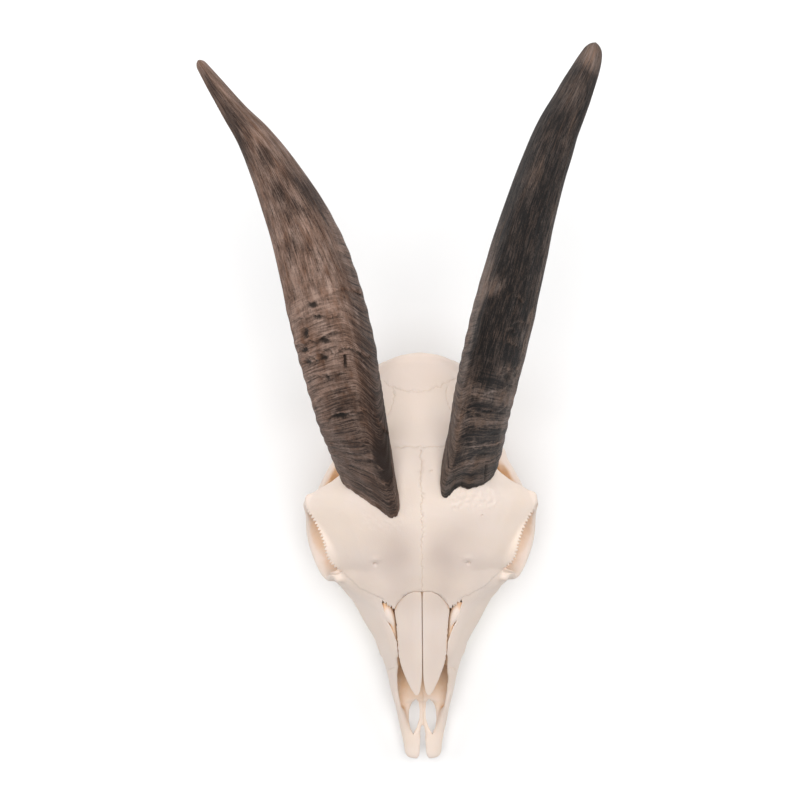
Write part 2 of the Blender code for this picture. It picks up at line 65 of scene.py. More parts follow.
# The muzzle: s, then the left half of its outline from the midline above to the midline below
MUZZLE = [
    (31, [(0, 31), (11.5, 31), (14.2, 29), (15.4, 23.5), (15.4, 19), (13.8, 15.5), (0, 15)]),
    (38, [(0, 37), (12, 37), (15.3, 34), (16.9, 27.5), (17, 20), (15.2, 15.5), (0, 15)]),
    (46, [(0, 43.5), (12.8, 43.5), (16.3, 39.5), (18.3, 32), (18.6, 23), (16.6, 15), (0, 15)]),
    (53, [(0, 50), (12.8, 50), (17, 45), (20, 36), (20.5, 25), (18.5, 15), (0, 15.5)]),
    (60, [(0, 57.5), (14, 56.5), (18.8, 48), (22.2, 37), (22.6, 26), (20, 15), (0, 16)]),
    (68, [(0, 62.5), (15, 60.5), (21, 50), (26, 38), (26.3, 27), (23.5, 15), (0, 16.5)]),
    (76, [(0, 67), (17, 63.5), (24.5, 53), (30.8, 41), (30.2, 28), (26.8, 15), (0, 17)]),
    (85, [(0, 71), (20, 67.5), (29, 57.5), (35.6, 44), (33, 29), (29, 15), (0, 17)]),
    (92, [(0, 75), (24, 71.5), (35, 62), (39.6, 47.5), (35.5, 31), (31, 15.5), (0, 17.5)]),
    (99, [(0, 79.5), (29, 75.5), (42, 65), (46, 51), (38.5, 33), (32, 16), (0, 18)]),
    (107, [(0, 85), (29, 80), (43, 67), (48, 53), (38.5, 35), (32.5, 16.5), (0, 19)]),
    (114, [(0, 90), (24, 84), (38, 66), (46, 50), (36, 34), (31.5, 17.5), (0, 21)]),
    (120, [(0, 92), (18, 86), (27, 66), (33, 50), (29, 34), (27.5, 20), (0, 24)]),
    (126, [(0, 95), (15, 88), (18, 68), (19, 52), (17, 40), (14, 32), (0, 30)]),
]
BRAINCASE = [
    (100, [(0, 79), (12, 77), (17, 66), (16, 54), (12, 43), (8, 34), (0, 33)]),
    (115, [(0, 90), (13, 87), (19, 74), (18, 60), (13, 47), (9, 35), (0, 32)]),
    (130, [(0, 98), (15, 95), (21, 82), (20, 66), (15, 51), (10, 36), (0, 32)]),
    (145, [(0, 103.5), (18, 100), (25, 87), (25, 68), (19, 51), (11, 36), (0, 31.5)]),
    (158, [(0, 104.5), (20, 100), (29, 86), (30, 67), (24, 48), (12, 34), (0, 30)]),
    (170, [(0, 101.5), (20, 97), (30, 83), (33, 64), (28, 46), (13, 31), (0, 28)]),
    (182, [(0, 94), (19, 89.5), (28.5, 77), (32.5, 60), (29, 43), (13, 28), (0, 25.5)]),
    (194, [(0, 85.5), (17, 82), (25.5, 71.5), (30.5, 56), (28.5, 41), (13, 26), (0, 23.5)]),
    (204, [(0, 79), (14, 76.5), (22.5, 67.5), (28.5, 54), (27.5, 41), (13, 25.5), (0, 22)]),
    (210, [(0, 74.5), (12, 72.5), (19.5, 64.5), (25, 52), (24.5, 41), (13, 28), (0, 25)]),
    (214.5, [(0, 70), (9, 68.5), (14, 62), (18, 52), (17, 44), (9, 37), (0, 36)]),
]

# The roof over the eyes: s, half width, height on the midline, height at the rim, rim thickness
ROOF = [
    (86, 16, 71, 66, 2.0),
    (92, 29, 75, 65, 2.2),
    (98, 41, 79, 64, 2.5),
    (104, 43, 83.5, 68, 3.0),
    (109, 46, 87, 72.5, 3.2),
    (116, 49, 91.5, 76, 3.2),
    (123, 51.5, 95.5, 78, 3.2),
    (130, 54.5, 99, 78, 3.4),
    (136, 58.5, 101.5, 76, 3.6),
    (142, 59.5, 103.5, 74.5, 3.8),
    (147, 55, 104.8, 76.5, 3.8),
    (152, 46, 105.5, 80.5, 3.8),
    (158, 39, 105.5, 84, 4.5),
    (165, 34, 104, 87, 6),
    (172, 30, 101, 88, 8),
]

# Bars of bone on one side, each with the direction its height is measured along.
# A point is x, s, z, half thickness, half height
BARS = {
    "cheek_arch": ((0, 0, 1), [
        (56.6, 134, 45.5, 2.8, 4.8), (54.2, 141, 44.5, 2.8, 5.0), (50.2, 149, 44.5, 3.2, 4.8),
        (45.0, 157, 45.5, 4.0, 4.4), (39.5, 164, 46.5, 4.6, 4.4), (34, 170, 48.5, 5.2, 5.6), (26, 175, 52, 6.5, 8.0)]),
    "postorbital_bar": ((0, 1, 0), [
        (58.3, 141.5, 75, 2.4, 4.4), (58.6, 141.5, 64, 2.4, 3.8), (57.6, 140.5, 54, 2.4, 4.4),
        (56.2, 138.5, 46, 2.4, 5.5)]),
    "nuchal_crest": ((0, 0, 1), [
        (0, 216.2, 69.5, 2.8, 2.8), (12, 213.8, 67.5, 2.8, 3.0), (22, 208, 62, 2.6, 3.2), (28, 200, 52, 2.4, 3.2),
        (29.5, 195, 42, 2.4, 3.2)]),
    "jugular_process": ((0, 1, 0.2), [
        (27, 196, 48, 4.0, 7.5), (26.5, 197.5, 36, 3.4, 7.5), (25.5, 197.5, 24, 2.6, 6.0), (24, 195.5, 12, 2.4, 4.4),
        (22.6, 192, 1.6, 2.0, 3.0), (22.2, 191.2, -1.6, 1.8, 2.6)]),
    "pterygoid_plate": ((0, 0, 1), [
        (10.5, 108, 27, 1.6, 9.0), (10.5, 120, 27, 1.5, 10.5), (10.5, 131, 28, 1.5, 10.5), (9.8, 140, 29, 1.5, 9.0),
        (9.2, 147, 31, 1.4, 6.0)]),
    "tooth_ridge": ((0, 0, 1), [
        (18.3, 55, 17, 4.2, 4.5), (20.8, 66, 16.5, 5.2, 4.8), (24.2, 80, 16.5, 6.4, 5.0), (26.2, 95, 16.8, 7.4, 5.2),
        (26.6, 108, 17.5, 7.4, 5.6), (25.4, 118, 19, 6.4, 6.3)]),
    "facial_crest": ((0, 0, 1), [
        (33, 86, 38, 2.4, 3.0), (39.5, 94, 39, 2.8, 3.6), (45.5, 104, 39.5, 3.2, 4.2), (51.5, 116, 40.5, 3.2, 4.8),
        (55.5, 127, 43, 3.0, 4.8)]),
    "incisive_blade": ((0, 0, 1), [
        (4.8, -1.1, 14.0, 4.2, 1.5), (4.6, 1.5, 14.6, 5.6, 2.2), (5.2, 7, 15.6, 5.9, 2.4), (9.0, 15, 17.8, 3.2, 3.0),
        (11.4, 24, 20.8, 2.4, 5.4), (13.2, 32, 24, 2.2, 8.5), (15.0, 40, 27.5, 2.0, 9.5)]),
    "palate_shelf": ((0, 0, 1), [
        (7.6, 11, 16.5, 1.8, 1.7), (9.0, 17, 17, 2.6, 1.8), (10.0, 24, 17.5, 3.2, 1.9), (9.8, 30, 17.5, 4.4, 2.1),
        (8, 35, 17.5, 5.5, 2.2)]),
    "incisive_rod": ((0, 0, 1), [
        (4.0, 9, 15.5, 2.2, 1.6), (2.4, 16, 16.2, 1.8, 1.7), (1.6, 26, 16.8, 1.6, 1.9), (1.6, 38, 17, 1.8, 2.2),
        (2.0, 48, 17, 1.8, 2.4)]),
}
# The cup of bone round the eye, from the rim inwards
ORBIT_CUP = [
    (53.5, 119, 60.3, 20.2, 20.0), (47, 121.8, 59.8, 19.5, 19.3), (40, 124.3, 59.2, 17.8, 17.6),
    (33, 126.8, 58.8, 15, 15),
]

# Round the eye socket: x, s, z, half thickness of the rim, half depth outwards
ORBIT_RING = [
    (46, 108, 70.6, 2.8, 3.8), (50.0, 121, 75.2, 2.8, 3.8), (56.0, 133, 73, 2.8, 3.8), (58.6, 139.5, 62, 2.8, 3.6),
    (58.0, 134, 48, 2.8, 3.8), (56.6, 120, 41, 3.0, 4.2), (51.5, 107, 44, 3.0, 4.8), (46.4, 101.5, 57, 2.8, 4.8),
]
ORBIT_FACING = (0.90, -0.36, 0.22)

# Knobs of bone on one side: centre, radii, outward lean in degrees
KNOBS = {
    "condyle": ((12.8, 208.5, 32), (7.6, 7.8, 11.2), -28),
    "bulla": ((18.5, 176, 28), (6.8, 11.5, 10.5), 8),
    "ear_tube": ((29, 179, 43.5), (7.0, 6.0, 7.0), 0),
    "jaw_joint": ((36, 163.5, 45), (10.5, 8.0, 4.6), 0),
    "lacrimal_tubercle": ((43.4, 100.4, 66.5), (2.6, 2.4, 2.8), 0),
}

# The hollows
NASAL_CAVITY = [
    (28, [(0, 60), (10.6, 58), (11.2, 30), (12, 23.5), (10.5, 20.5), (0, 19.5)]),
    (38, [(0, 60), (12.2, 58), (12.8, 36), (13.6, 27), (12.8, 22.5), (0, 20)]),
    (46, [(0, 60), (12.4, 58), (13.2, 43), (15, 32), (14.8, 23.5), (0, 20)]),
    (53, [(0, 60), (11.8, 58), (12.8, 47), (16.4, 35.5), (16.6, 24.5), (0, 20)]),
    (60, [(0, 60), (11.4, 57), (14.6, 47), (18.2, 35.5), (16.5, 25.5), (0, 20.5)]),
    (72, [(0, 65), (12.2, 61), (18.5, 50), (23.5, 38), (16.5, 26.5), (0, 21.5)]),
    (84, [(0, 70), (12, 66), (19, 56), (26.5, 42), (17, 28.5), (0, 23)]),
    (92, [(0, 70), (9, 66), (15, 57), (18, 46), (12, 33), (0, 30)]),
    (104, [(0, 64), (7, 61), (10, 54), (8, 44), (6, 36), (0, 30)]),
    (124, [(0, 44), (6, 43), (7.6, 37), (8, 29), (7, 19), (0, 17)]),
    (136, [(0, 34), (5, 33), (7.4, 28), (7.8, 22), (7, 10), (0, 8)]),
]
FUNNELS = {
    "orbit": [
        (70, 110, 63.5, 21.5, 21.0), (58, 117, 60.8, 17.6, 17.4), (50, 120.5, 59.8, 16.9, 16.8),
        (40, 124, 59, 15.5, 15.5), (30, 127.5, 58.5, 12.5, 13.0), (23.5, 129.7, 58, 6.5, 8.5)],
    "infraorbital_canal": [(27, 52, 30.5, 2.2, 2.8), (20, 64, 34.5, 2.2, 2.8), (16, 72, 37, 2.2, 2.8)],
    "ear_hole": [(40, 178.5, 45, 2.8, 2.8), (29, 179, 43.5, 2.6, 2.6)],
}
FORAMEN_MAGNUM = [(0, 226, 41, 9.5, 9.0), (0, 212, 41.5, 9.5, 9.2), (0, 196, 47, 11, 10.5), (0, 182, 53, 13, 12.5)]
# Round hollows: centre, radii
BRAIN = ((0, 177, 63), (22, 27, 19))
TEMPORAL_FOSSA = ((42.5, 149, 61), (10.0, 16.0, 14.5))
ORBIT_NOTCH = ((45.5, 104.6, 68.2), (4.2, 1.8, 2.8))

# The gap beside each nasal bone, ragged on its frontal edge
FONTANELLE = [
    (14.0, 83.6), (14.7, 85.0), (15.4, 84.2), (15.9, 86.6), (16.5, 85.2), (17.4, 86.8), (18.0, 85.6), (18.6, 88.4),
    (19.4, 87.2), (20.6, 89.4), (21.0, 87.4), (20.0, 84.4), (19.4, 80.6), (18.0, 77.0), (16.4, 74.4), (14.9, 70.4),
    (13.4, 66.2), (11, 72),
]

# Slits in the palate, on one side
FISSURE = [
    (5.2, 12.3), (6.8, 16.0), (7.5, 20.4), (7.3, 25.6), (5.6, 30.0), (3.4, 31.8), (2.0, 29.8), (1.6, 25.5), (1.7, 21.0),
    (3.2, 16.0),
]

# Half of the gap between the two incisive bones
INCISIVE_GAP = [
    (5.4, -2.8), (4.0, -1.4), (3.0, -0.6), (2.3, 0.4), (1.8, 2.0), (1.55, 6.0), (1.4, 10.0), (0.9, 13.5), (0.0, 16.0),
]

# The rim over one eye, seen from above, from the notch back
BROW_EDGE = [
    (41.6, 104.6), (44.3, 106.6), (46.6, 108.8), (48.3, 111.4), (49.4, 114.5), (50.1, 117.8), (51.0, 121.0),
    (52.1, 124.4), (53.5, 127.6), (55.0, 130.4), (56.6, 133.2), (58.6, 136.0), (60.4, 138.6),
]

# Greyer patches of the roof, on each side: thin bone, and painted shade where the forehead sinks. x, s, half lengths
# across and along, how much greyer
THIN_BONE_AND_SHADE = [
    (12, 112, 9, 15, 0.8), (30, 106, 10, 9, 0.35), (8, 90, 12, 8, 0.4), (26, 124, 9, 12, 0.25), (7, 62, 8, 22, 0.35),
    (0, 206, 30, 16, 0.4),
]

# Scrolls of thin bone inside the nose, on one side
TURBINATE = [
    (19.4, 87.4, 63.0, 2.0, 1.8), (18.2, 83.8, 63.6, 2.6, 2.1), (16.7, 79.6, 62.4, 2.6, 2.4),
    (15.2, 75.6, 59.6, 1.5, 2.6), (14.0, 66, 52, 1.6, 3.2), (13.2, 54, 42, 1.6, 3.0),
]

# Nasal bones: s, inner edge, outer edge, height on the midline
NASAL = [
    (37.0, 2.5, 4.0, 48.4), (38.6, 1.7, 5.0, 49.2), (40.6, 1.2, 6.2, 50.3), (46.7, 0.4, 8.9, 53.6),
    (54.2, 0.22, 11.5, 57.4), (61.6, 0.18, 12.8, 61.0), (68, 0.18, 13.1, 64.0), (76.5, 0.18, 13.6, 68.0),
    (83.5, 0.18, 14.2, 71.4), (87.8, 0.18, 12.2, 73.6), (91.6, 0.3, 8.4, 75.6), (93.6, 0.7, 4.6, 76.6),
]
NASAL_THICK = 1.9
NASAL_ARCH = 4.2
NASAL_HALF = 14.0

# Between pieces, and the height that the tooth sockets reach
JOINT_GAP = 0.35
SOCKET_TOP = 19.5

# Small holes for nerves and vessels. On the roof: x, s, radius, the way the hole faces, length
ROOF_HOLES = [
    (24.0, 109.0, 1.25, (0.0, 0.93, -0.36), 3.6), (31.0, 134.0, 0.45, (0, 0.3, -1), 2.0),
    (5.2, 157.5, 0.4, (0, 0.3, -1), 1.6),
]
# In the palate and along the base: x, s, z, radius
BASE_HOLES = [(9.5, 103, 17, 1.5), (17.5, 155, 34, 1.8), (14, 163, 30, 1.3), (8.5, 199, 26, 1.2)]

# Heights between which cuts in plan are made
NOSE_CUT = (50, 92)
PALATE_CUT = (8, 26)
BROW_CUT = (65, 98)

# How far forms melt into each other: outside, in the hollows and where the two meet
OUTER_SOFTNESS = 3.3
HOLLOW_SOFTNESS = 1.9
EDGE_SOFTNESS = 1.7

# How shut in a point is, is felt out by rays. Where they start off the face and how far they reach, in metres
RAY_START = 0.0004
RAY_REACH = 0.07
SHARE_SOFTENING = 4

# Upper cheek teeth from front to back: middle x, front s, length, width, lobes
TEETH = {
    "premolar_2": (18.6, 56.0, 7.6, 5.8, 1),
    "premolar_3": (21.0, 63.9, 8.6, 8.0, 1),
    "premolar_4": (23.4, 72.8, 8.8, 9.6, 1),
    "molar_1": (25.4, 81.9, 11.4, 11.4, 2),
    "molar_2": (26.4, 93.6, 12.8, 12.2, 2),
    "molar_3": (26.2, 106.7, 12.6, 11.2, 2),
}

# A cheek tooth's outline from its front inner corner, along the cheek side: across and along
TOOTH_OUTLINE = [
    (-0.30, -0.50), (0.20, -0.50), (0.50, -0.44), (0.40, -0.22), (0.50, -0.02), (0.40, 0.22), (0.50, 0.44),
    (0.20, 0.50), (-0.30, 0.50), (-0.50, 0.26), (-0.40, 0.0), (-0.50, -0.26),
]

# Horns. A path point is x, s, z, half breadth, half depth from keel to back
HORN_PATHS = {
    "left": [
        (20.4, 147, 80, 13.6, 19.5), (22.2, 160, 98, 14.1, 20.0), (25.8, 175, 118, 14.3, 20.0),
        (29.6, 196, 139, 15.1, 19.5), (39.0, 236, 167, 15.5, 18.2), (51.9, 283, 187, 12.9, 14.4),
        (64.1, 318, 195, 10.7, 11.2), (73.9, 338, 197, 8.5, 8.7), (80.9, 353, 198, 6.2, 6.3),
        (84.2, 362.0, 198, 3.5, 3.5)],
    "right": [
        (22.3, 142, 80, 13.4, 20.5), (24.8, 155, 98, 13.9, 21.0), (28.6, 170, 118, 15.5, 21.0),
        (33.1, 189, 138, 18.0, 20.5), (41.6, 229, 165, 19.8, 18.8), (53.7, 272, 184, 16.7, 15.8),
        (72.1, 310, 193, 10.4, 11.2), (86.8, 331, 195.5, 6.1, 7.0), (97.5, 346, 196.5, 4.0, 4.3),
        (104.3, 355.8, 197, 2.4, 2.4)],
}
# How far the keel is turned from the top, in degrees at the root and at the tip
KEEL_TURN = (26.0, 4.0)
# Half of a horn's section: across, and up towards the keel
HORN_OUTLINE = [
    (0.0, 0.98), (0.30, 0.86), (0.62, 0.50), (0.90, 0.04), (1.0, -0.38), (0.84, -0.74), (0.48, -0.95), (0.0, -1.0),
]

# How far a horn's rim swells over the brow: degrees round the horn from its keel outwards, millimetres
HORN_RIM = {
    "left": [(-180, 0), (-90, -0.4), (-30, 0), (-8, 1.2), (6, 1.0), (24, -3.0), (40, -2.8), (56, 1.0), (72, 1.6),
             (110, 0.4), (180, 0)],
    "right": [(-180, 0), (-125, -0.8), (-90, -2.4), (-60, -2.6), (-38, -1.6), (-15, 0.6), (5, 1.8), (22, 2.0),
              (40, 1.0), (60, 0.2), (90, 0), (180, 0)],
}

# How a horn's growth lines bow in plan: half the drop on the keel's side, where across it starts, how far it arches
GROWTH_BOW = {"left": (3.0, 0.30, 0.5), "right": (6.0, 0.25, 2.6)}

# Where along s growth lines give way to fibres, how pale a horn is, how strongly its grain shows
HORN_SURFACE = {"left": ((178, 226), 0.04, 0.38), "right": ((215, 262), 0.52, 0.36)}

# Torn edges of older horn over newer: how high the edge stands, how dark the painted shade in the hollow under it is, x
# and s along it
HORN_TEARS = {
    "left": [
        (0.35, 0.9, [(46.5, 242.4), (48.6, 239.6)]), (0.3, 0.7, [(45.2, 229.6), (47.6, 230.8), (49.8, 229.9)]),
        (0.3, 0.7, [(42.1, 226.4), (43.4, 227.4), (44.7, 225.8)]),
        (0.3, 0.6, [(42.3, 220.7), (45, 219.8), (47.4, 218.0)]),
        (0.35, 0.8, [(38.6, 206.0), (40.6, 208.6), (43.2, 207.4), (45.6, 209.0), (48.2, 207.0)]),
        (0.4, 0.5, [(24.0, 196.0), (29.0, 194.8), (34.0, 196.6), (39.4, 197.4), (44.0, 200.6)]),
        (0.4, 0.6, [(22.0, 188.6), (27.4, 187.4), (32.0, 188.2), (37.6, 187.0), (42.6, 190.4)]),
        (0.35, 0.5, [(20.8, 179.8), (26.0, 179.0), (31.4, 179.8), (37.2, 178.8), (41.6, 181.6)]),
        (0.35, 0.6, [(19.0, 170.2), (24.6, 169.6), (30.4, 170.4), (36.0, 169.8), (40.4, 172.2)]),
        (0.3, 0.5, [(16.6, 161.4), (22.6, 160.6), (28.0, 161.6), (34.2, 161.2), (39.4, 163.0)]),
    ],
    "right": [
        (0.5, 0.6, [(-61.8, 232.4), (-58.8, 233.8), (-55.5, 233.4), (-51.7, 234.8), (-47.6, 234.3), (-43.8, 233.6),
                    (-39.6, 235.1)]),
        (0.8, 1.0, [(-60.4, 221.0), (-56.7, 221.4), (-53.3, 223.2), (-50.4, 222.3), (-46.9, 224.8), (-44.0, 226.0),
                    (-40.6, 226.9)]),
        (0.7, 0.9, [(-56.9, 212.4), (-55.2, 215.6), (-52.6, 215.0), (-50.2, 213.6), (-48.0, 216.9), (-44.2, 218.8),
                    (-41.3, 216.1), (-38.7, 218.2), (-35.7, 219.2), (-32.0, 218.2), (-26.2, 214.9)]),
        (0.5, 0.35, [(-61.7, 233.8), (-55.8, 239.6), (-50.8, 241.6), (-45.7, 243.6), (-39.1, 246.5), (-33.2, 246.7),
                     (-28.3, 245.3)]),
        (0.5, 1.0, [(-46.8, 183.2), (-45.0, 185.5), (-43.2, 186.9), (-40.2, 187.6), (-36.8, 187.5), (-33.6, 186.6)]),
        (0.3, 0.5, [(-33.6, 186.6), (-29.6, 188.4), (-26.5, 188.7), (-23.2, 185.7), (-19.8, 181.0), (-16.8, 176.9)]),
        (0.4, 0.6, [(-55.0, 205.6), (-51.0, 206.6), (-46.6, 205.4), (-42.0, 207.6), (-37.0, 207.0)]),
        (0.25, 0.3, [(-47.0, 197.8), (-43.4, 198.8), (-39.6, 198.6), (-35.8, 197.4)]),
        (0.3, 0.4, [(-45.5, 173.4), (-40.0, 174.0), (-33.0, 173.6), (-27.0, 171.6)]),
        (0.3, 0.4, [(-43.6, 166.6), (-38.0, 168.0), (-31.5, 167.0), (-25.0, 164.2), (-19.5, 158.5)]),
        (0.3, 0.4, [(-42.0, 160.4), (-36.5, 161.6), (-30.5, 160.0), (-24.5, 156.6), (-19.0, 150.5)]),
    ],
}

# Torn pits in the horns: x, s, half length across, half length along, depth
HORN_PITS = {
    "left": [(32.6, 156.5, 0.45, 4.6, 1.0), (27.5, 186, 1.4, 0.8, 0.4), (36.5, 176.5, 1.8, 0.9, 0.4),
             (30.6, 166.2, 2.4, 1.0, 0.4), (42.0, 204.4, 1.6, 1.8, 0.4), (47.0, 205.2, 1.5, 1.4, 0.4)],
    "right": [(-40.2, 186.0, 4.6, 1.3, 1.3), (-36.5, 212.4, 0.8, 3.6, 1.6), (-46.4, 222.6, 3.0, 1.2, 0.9),
              (-55.6, 226.5, 1.6, 2.4, 0.9), (-56.4, 218.6, 1.9, 1.5, 1.0), (-47.0, 214.4, 2.2, 1.2, 0.8),
              (-55.0, 212.6, 2.0, 1.1, 0.7), (-45.6, 205.2, 1.2, 1.5, 0.8), (-49.4, 234.0, 1.8, 1.3, 0.6),
              (-51.6, 239.8, 2.4, 1.2, 0.5)],
}

# Soft patches of paler or darker horn: across from the outer edge at -1 to the inner edge at 1, distance s,
# half lengths across and along, change of tone
HORN_PATCHES = {
    "left": [
        (0.96, 240, 0.19, 30, 0.66), (0.86, 190, 0.30, 20, 0.56), (0.88, 160, 0.34, 16, 0.34),
        (0.62, 247, 0.2, 5, 0.40), (0.0, 356, 0.9, 7, 0.80), (0.2, 338, 0.8, 8, 0.22), (-0.92, 200, 0.14, 40, 0.34),
        (-0.9, 262, 0.12, 40, 0.22), (-0.25, 196.2, 0.9, 3.6, 0.46), (-0.25, 182.6, 0.9, 3.0, 0.42),
        (-0.25, 171.2, 0.8, 2.2, 0.36), (-0.1, 162.4, 0.9, 3.0, 0.36), (0.0, 153, 0.9, 3.0, 0.30),
        (0.1, 145, 0.9, 2.6, 0.22), (-0.55, 207, 0.34, 4.6, 0.26), (-0.4, 224, 0.2, 3.0, 0.20),
        (0.35, 300, 0.3, 16, 0.14), (-0.5, 322, 0.24, 12, 0.16),
    ],
    "right": [
        (-0.35, 258, 0.8, 24, 0.20), (-0.75, 232, 0.35, 30, 0.12), (-0.7, 196, 0.4, 18, 0.10),
        # Painted shade: the right horn's darker patches along its inner edge, at 0.7 and more across, stand for the
        # shade on its inward face
        (0.84, 214, 0.34, 46, -0.34), (0.1, 170, 1.4, 26, -0.27), (0.70, 164, 0.34, 10, -0.40),
        (0.1, 144, 1.0, 9, -0.22), (0.25, 236, 0.5, 8, 0.16), (-0.3, 327, 0.7, 8, -0.42), (-0.8, 316, 0.3, 8, -0.34),
        (0.0, 307, 0.35, 5, -0.36), (-0.15, 291, 0.26, 6, -0.40), (-0.1, 281.5, 0.3, 4, -0.34),
        (0.72, 288, 0.34, 10, -0.40), (0.3, 296, 0.25, 5, -0.24), (-0.35, 267, 0.3, 6, -0.32),
        (0.2, 262, 0.2, 5, -0.2), (-0.5, 342, 0.5, 6, -0.34), (0.3, 318, 0.4, 7, 0.14), (0.0, 355, 0.9, 5, 0.25),
        (-0.3, 246, 0.5, 3, -0.16), (-0.1, 189, 0.7, 5, -0.14), (0.4, 334, 0.4, 8, 0.08),
    ],
}


def linear(colour):
    """An sRGB hex colour as linear red, green and blue."""
    parts = [int(colour[i:i + 2], 16) / 255 for i in (1, 3, 5)]
    return tuple(c / 12.92 if c <= 0.04045 else ((c + 0.055) / 1.055) ** 2.4 for c in parts)


# What a user would change

def colour_setting(name, description, default):
    """A colour, its default given as sRGB hex."""
    return bpy.props.FloatVectorProperty(
        name=name, description=description, subtype="COLOR", size=3, min=0, max=1, default=linear(default))


def measure(name, description, default, unit="LENGTH", **limits):
    """A length in metres, or a measure of another unit."""
    return bpy.props.FloatProperty(name=name, description=description, unit=unit, default=default, **limits)


class GoatSkullBone(bpy.types.PropertyGroup):
    """Sizes and colours of the bone."""

    bone: colour_setting("Bone", "Bleached dry bone", "#EADACF")
    warm: colour_setting("Warm bone", "Thicker bone that has kept some fat", "#EAD6C2")
    # The hollow colour is both yellower bone and painted shade, laid on by how shut in each point is
    hollow: colour_setting("Hollows", "Bone in the hollows, yellower than outside", "#E6BC8E")
    # Greyer bone where it is thin, also used as painted shade on the sunken forehead
    thin: colour_setting("Thin bone", "Greyer bone where it is thin", "#CDBBB1")
    seam: colour_setting("Seams", "Stained bone in the seams", "#DFC8AC")
    grain: measure("Mesh grain", "Size of the smallest form in the bone", 0.0007, min=0.0004, max=0.003)
    triangles: bpy.props.IntProperty(
        name="Triangles", description="Triangles that the bone keeps", default=186000, min=10000, max=198000)
    seam_width: measure("Seam width", "Width of the grooves along the seams", 0.00028)
    seam_depth: measure("Seam depth", "Depth of the grooves along the seams", 0.00011)
    notch_pitch: measure("Brow notches", "Distance between the notches over the eyes", 0.0018)


class GoatSkullTeeth(bpy.types.PropertyGroup):
    """Sizes and colours of the cheek teeth."""

    enamel: colour_setting("Enamel", "The hard outer layer", "#EFE5D2")
    dentine: colour_setting("Dentine", "The softer core, stained by feeding", "#C9A97A")
    wear: measure("Wear", "How far the dentine is worn below the enamel", 0.0007)


class GoatSkullHorns(bpy.types.PropertyGroup):
    """Sizes and colours of the horns."""

    left_dark: colour_setting("Left, dark", "The black horn of the left side", "#161211")
    left_light: colour_setting("Left, light", "Frayed fibres of the left side", "#8A7A72")
    left_brown: colour_setting("Left, brown", "Brown bands near the root", "#7E6352")
    right_dark: colour_setting("Right, dark", "The dark horn of the right side", "#281A13")
    right_light: colour_setting("Right, light", "Weathered grey horn of the right side", "#AE9385")
    right_brown: colour_setting("Right, brown", "Brown horn near the root", "#72503C")
    columns: bpy.props.IntProperty(
        name="Columns", description="Faces round a horn", default=208, min=24, max=240)
    rows: bpy.props.IntProperty(name="Rows", description="Faces along a horn", default=430, min=40, max=450)


class GoatSkullStage(bpy.types.PropertyGroup):
    """The floor, the lights and the camera."""

    floor: colour_setting("Floor", "Painted board", "#F7F7F7")
    floor_size: measure("Floor size", "Side of the floor", 8.0)
    camera_height: measure("Camera height", "Height of the camera over the floor", 1.45)
    lens: bpy.props.FloatProperty(
        name="Lens", description="Focal length", subtype="DISTANCE_CAMERA", default=118.9)
    key: measure("Key light", "Power of the softbox overhead", 36.0, "POWER")
    rear: measure("Rear light", "Power of the softbox behind the horns", 8.0, "POWER")
    fill: measure("Fill light", "Power of each side softbox", 7.5, "POWER")
    sky: bpy.props.FloatProperty(name="Room light", description="Light from the white room", default=0.18, min=0)


class GoatSkull(bpy.types.PropertyGroup):
    """Everything that a user would change."""

    bone: bpy.props.PointerProperty(type=GoatSkullBone)
    teeth: bpy.props.PointerProperty(type=GoatSkullTeeth)
    horns: bpy.props.PointerProperty(type=GoatSkullHorns)
    stage: bpy.props.PointerProperty(type=GoatSkullStage)


# Curves

def spline(corners, f):
    """The Catmull-Rom curve between the middle two of four corners."""
    a, b, c, d = corners
    return 0.5 * (2 * b + (c - a) * f + (2 * a - 5 * b + 4 * c - d) * f**2 + (3 * b - a - 3 * c + d) * f**3)


def through(points, count):
    """count points along a smooth line through the given ones."""
    p = np.array(points, float)
    p = np.vstack([2 * p[0] - p[1], p, 2 * p[-1] - p[-2]])
    place = np.linspace(0, len(p) - 3, count)
    first = np.minimum(place.astype(int), len(p) - 4)
    return spline([p[first + i] for i in range(4)], (place - first)[:, None])


def round_through(points, count):
    """count points round a smooth closed line through the given ones."""
    p = np.array(points, float)
    place = np.arange(count) * len(p) / count
    first = place.astype(int)
    return spline([p[(first + i) % len(p)] for i in (-1, 0, 1, 2)], (place - first)[:, None])


def unit(rows):
    return rows / np.linalg.norm(rows, axis=-1, keepdims=True)


def smooth_step(low, high, value):
    t = np.clip((value - low) / (high - low), 0, 1)
    return t * t * (3 - 2 * t)


def placed(points):
    """Points of the tables, in metres in the row's frame."""
    return (np.asarray(points, float) - ORIGIN) * MM


def rough(points, size, octaves=1):
    """Smooth noise at each point, from about -1 to 1, with forms of about the given size."""
    scaled = np.asarray(points, float) / size
    if octaves == 1:
        return np.array([noise.noise(Vector(p)) for p in scaled])
    return np.array([noise.fractal(Vector(p), 0.6, 2.0, octaves) for p in scaled])


# Meshes

def tube(rings, closed=False):
    """A grid bent round through rings of points, with its long edges welded and its ends closed."""
    rows = placed(rings)
    count, around = rows.shape[:2]
    spans = count if closed else count - 1
    bm = bmesh.new()
    verts = bmesh.ops.create_grid(bm, x_segments=around, y_segments=spans, size=1.0)["verts"]
    for k, vert in enumerate(verts):
        row, column = divmod(k, around + 1)
        vert.co = rows[row % count, column % around]
    weld = {verts[row * (around + 1) + around]: verts[row * (around + 1)] for row in range(spans + 1)}
    if closed:
        last = spans * (around + 1)
        weld.update({verts[last + column]: verts[column] for column in range(around)})
        weld[verts[last + around]] = verts[0]
    bmesh.ops.weld_verts(bm, targetmap=weld)
    bmesh.ops.holes_fill(bm, edges=[edge for edge in bm.edges if edge.is_boundary], sides=0)
    return bm


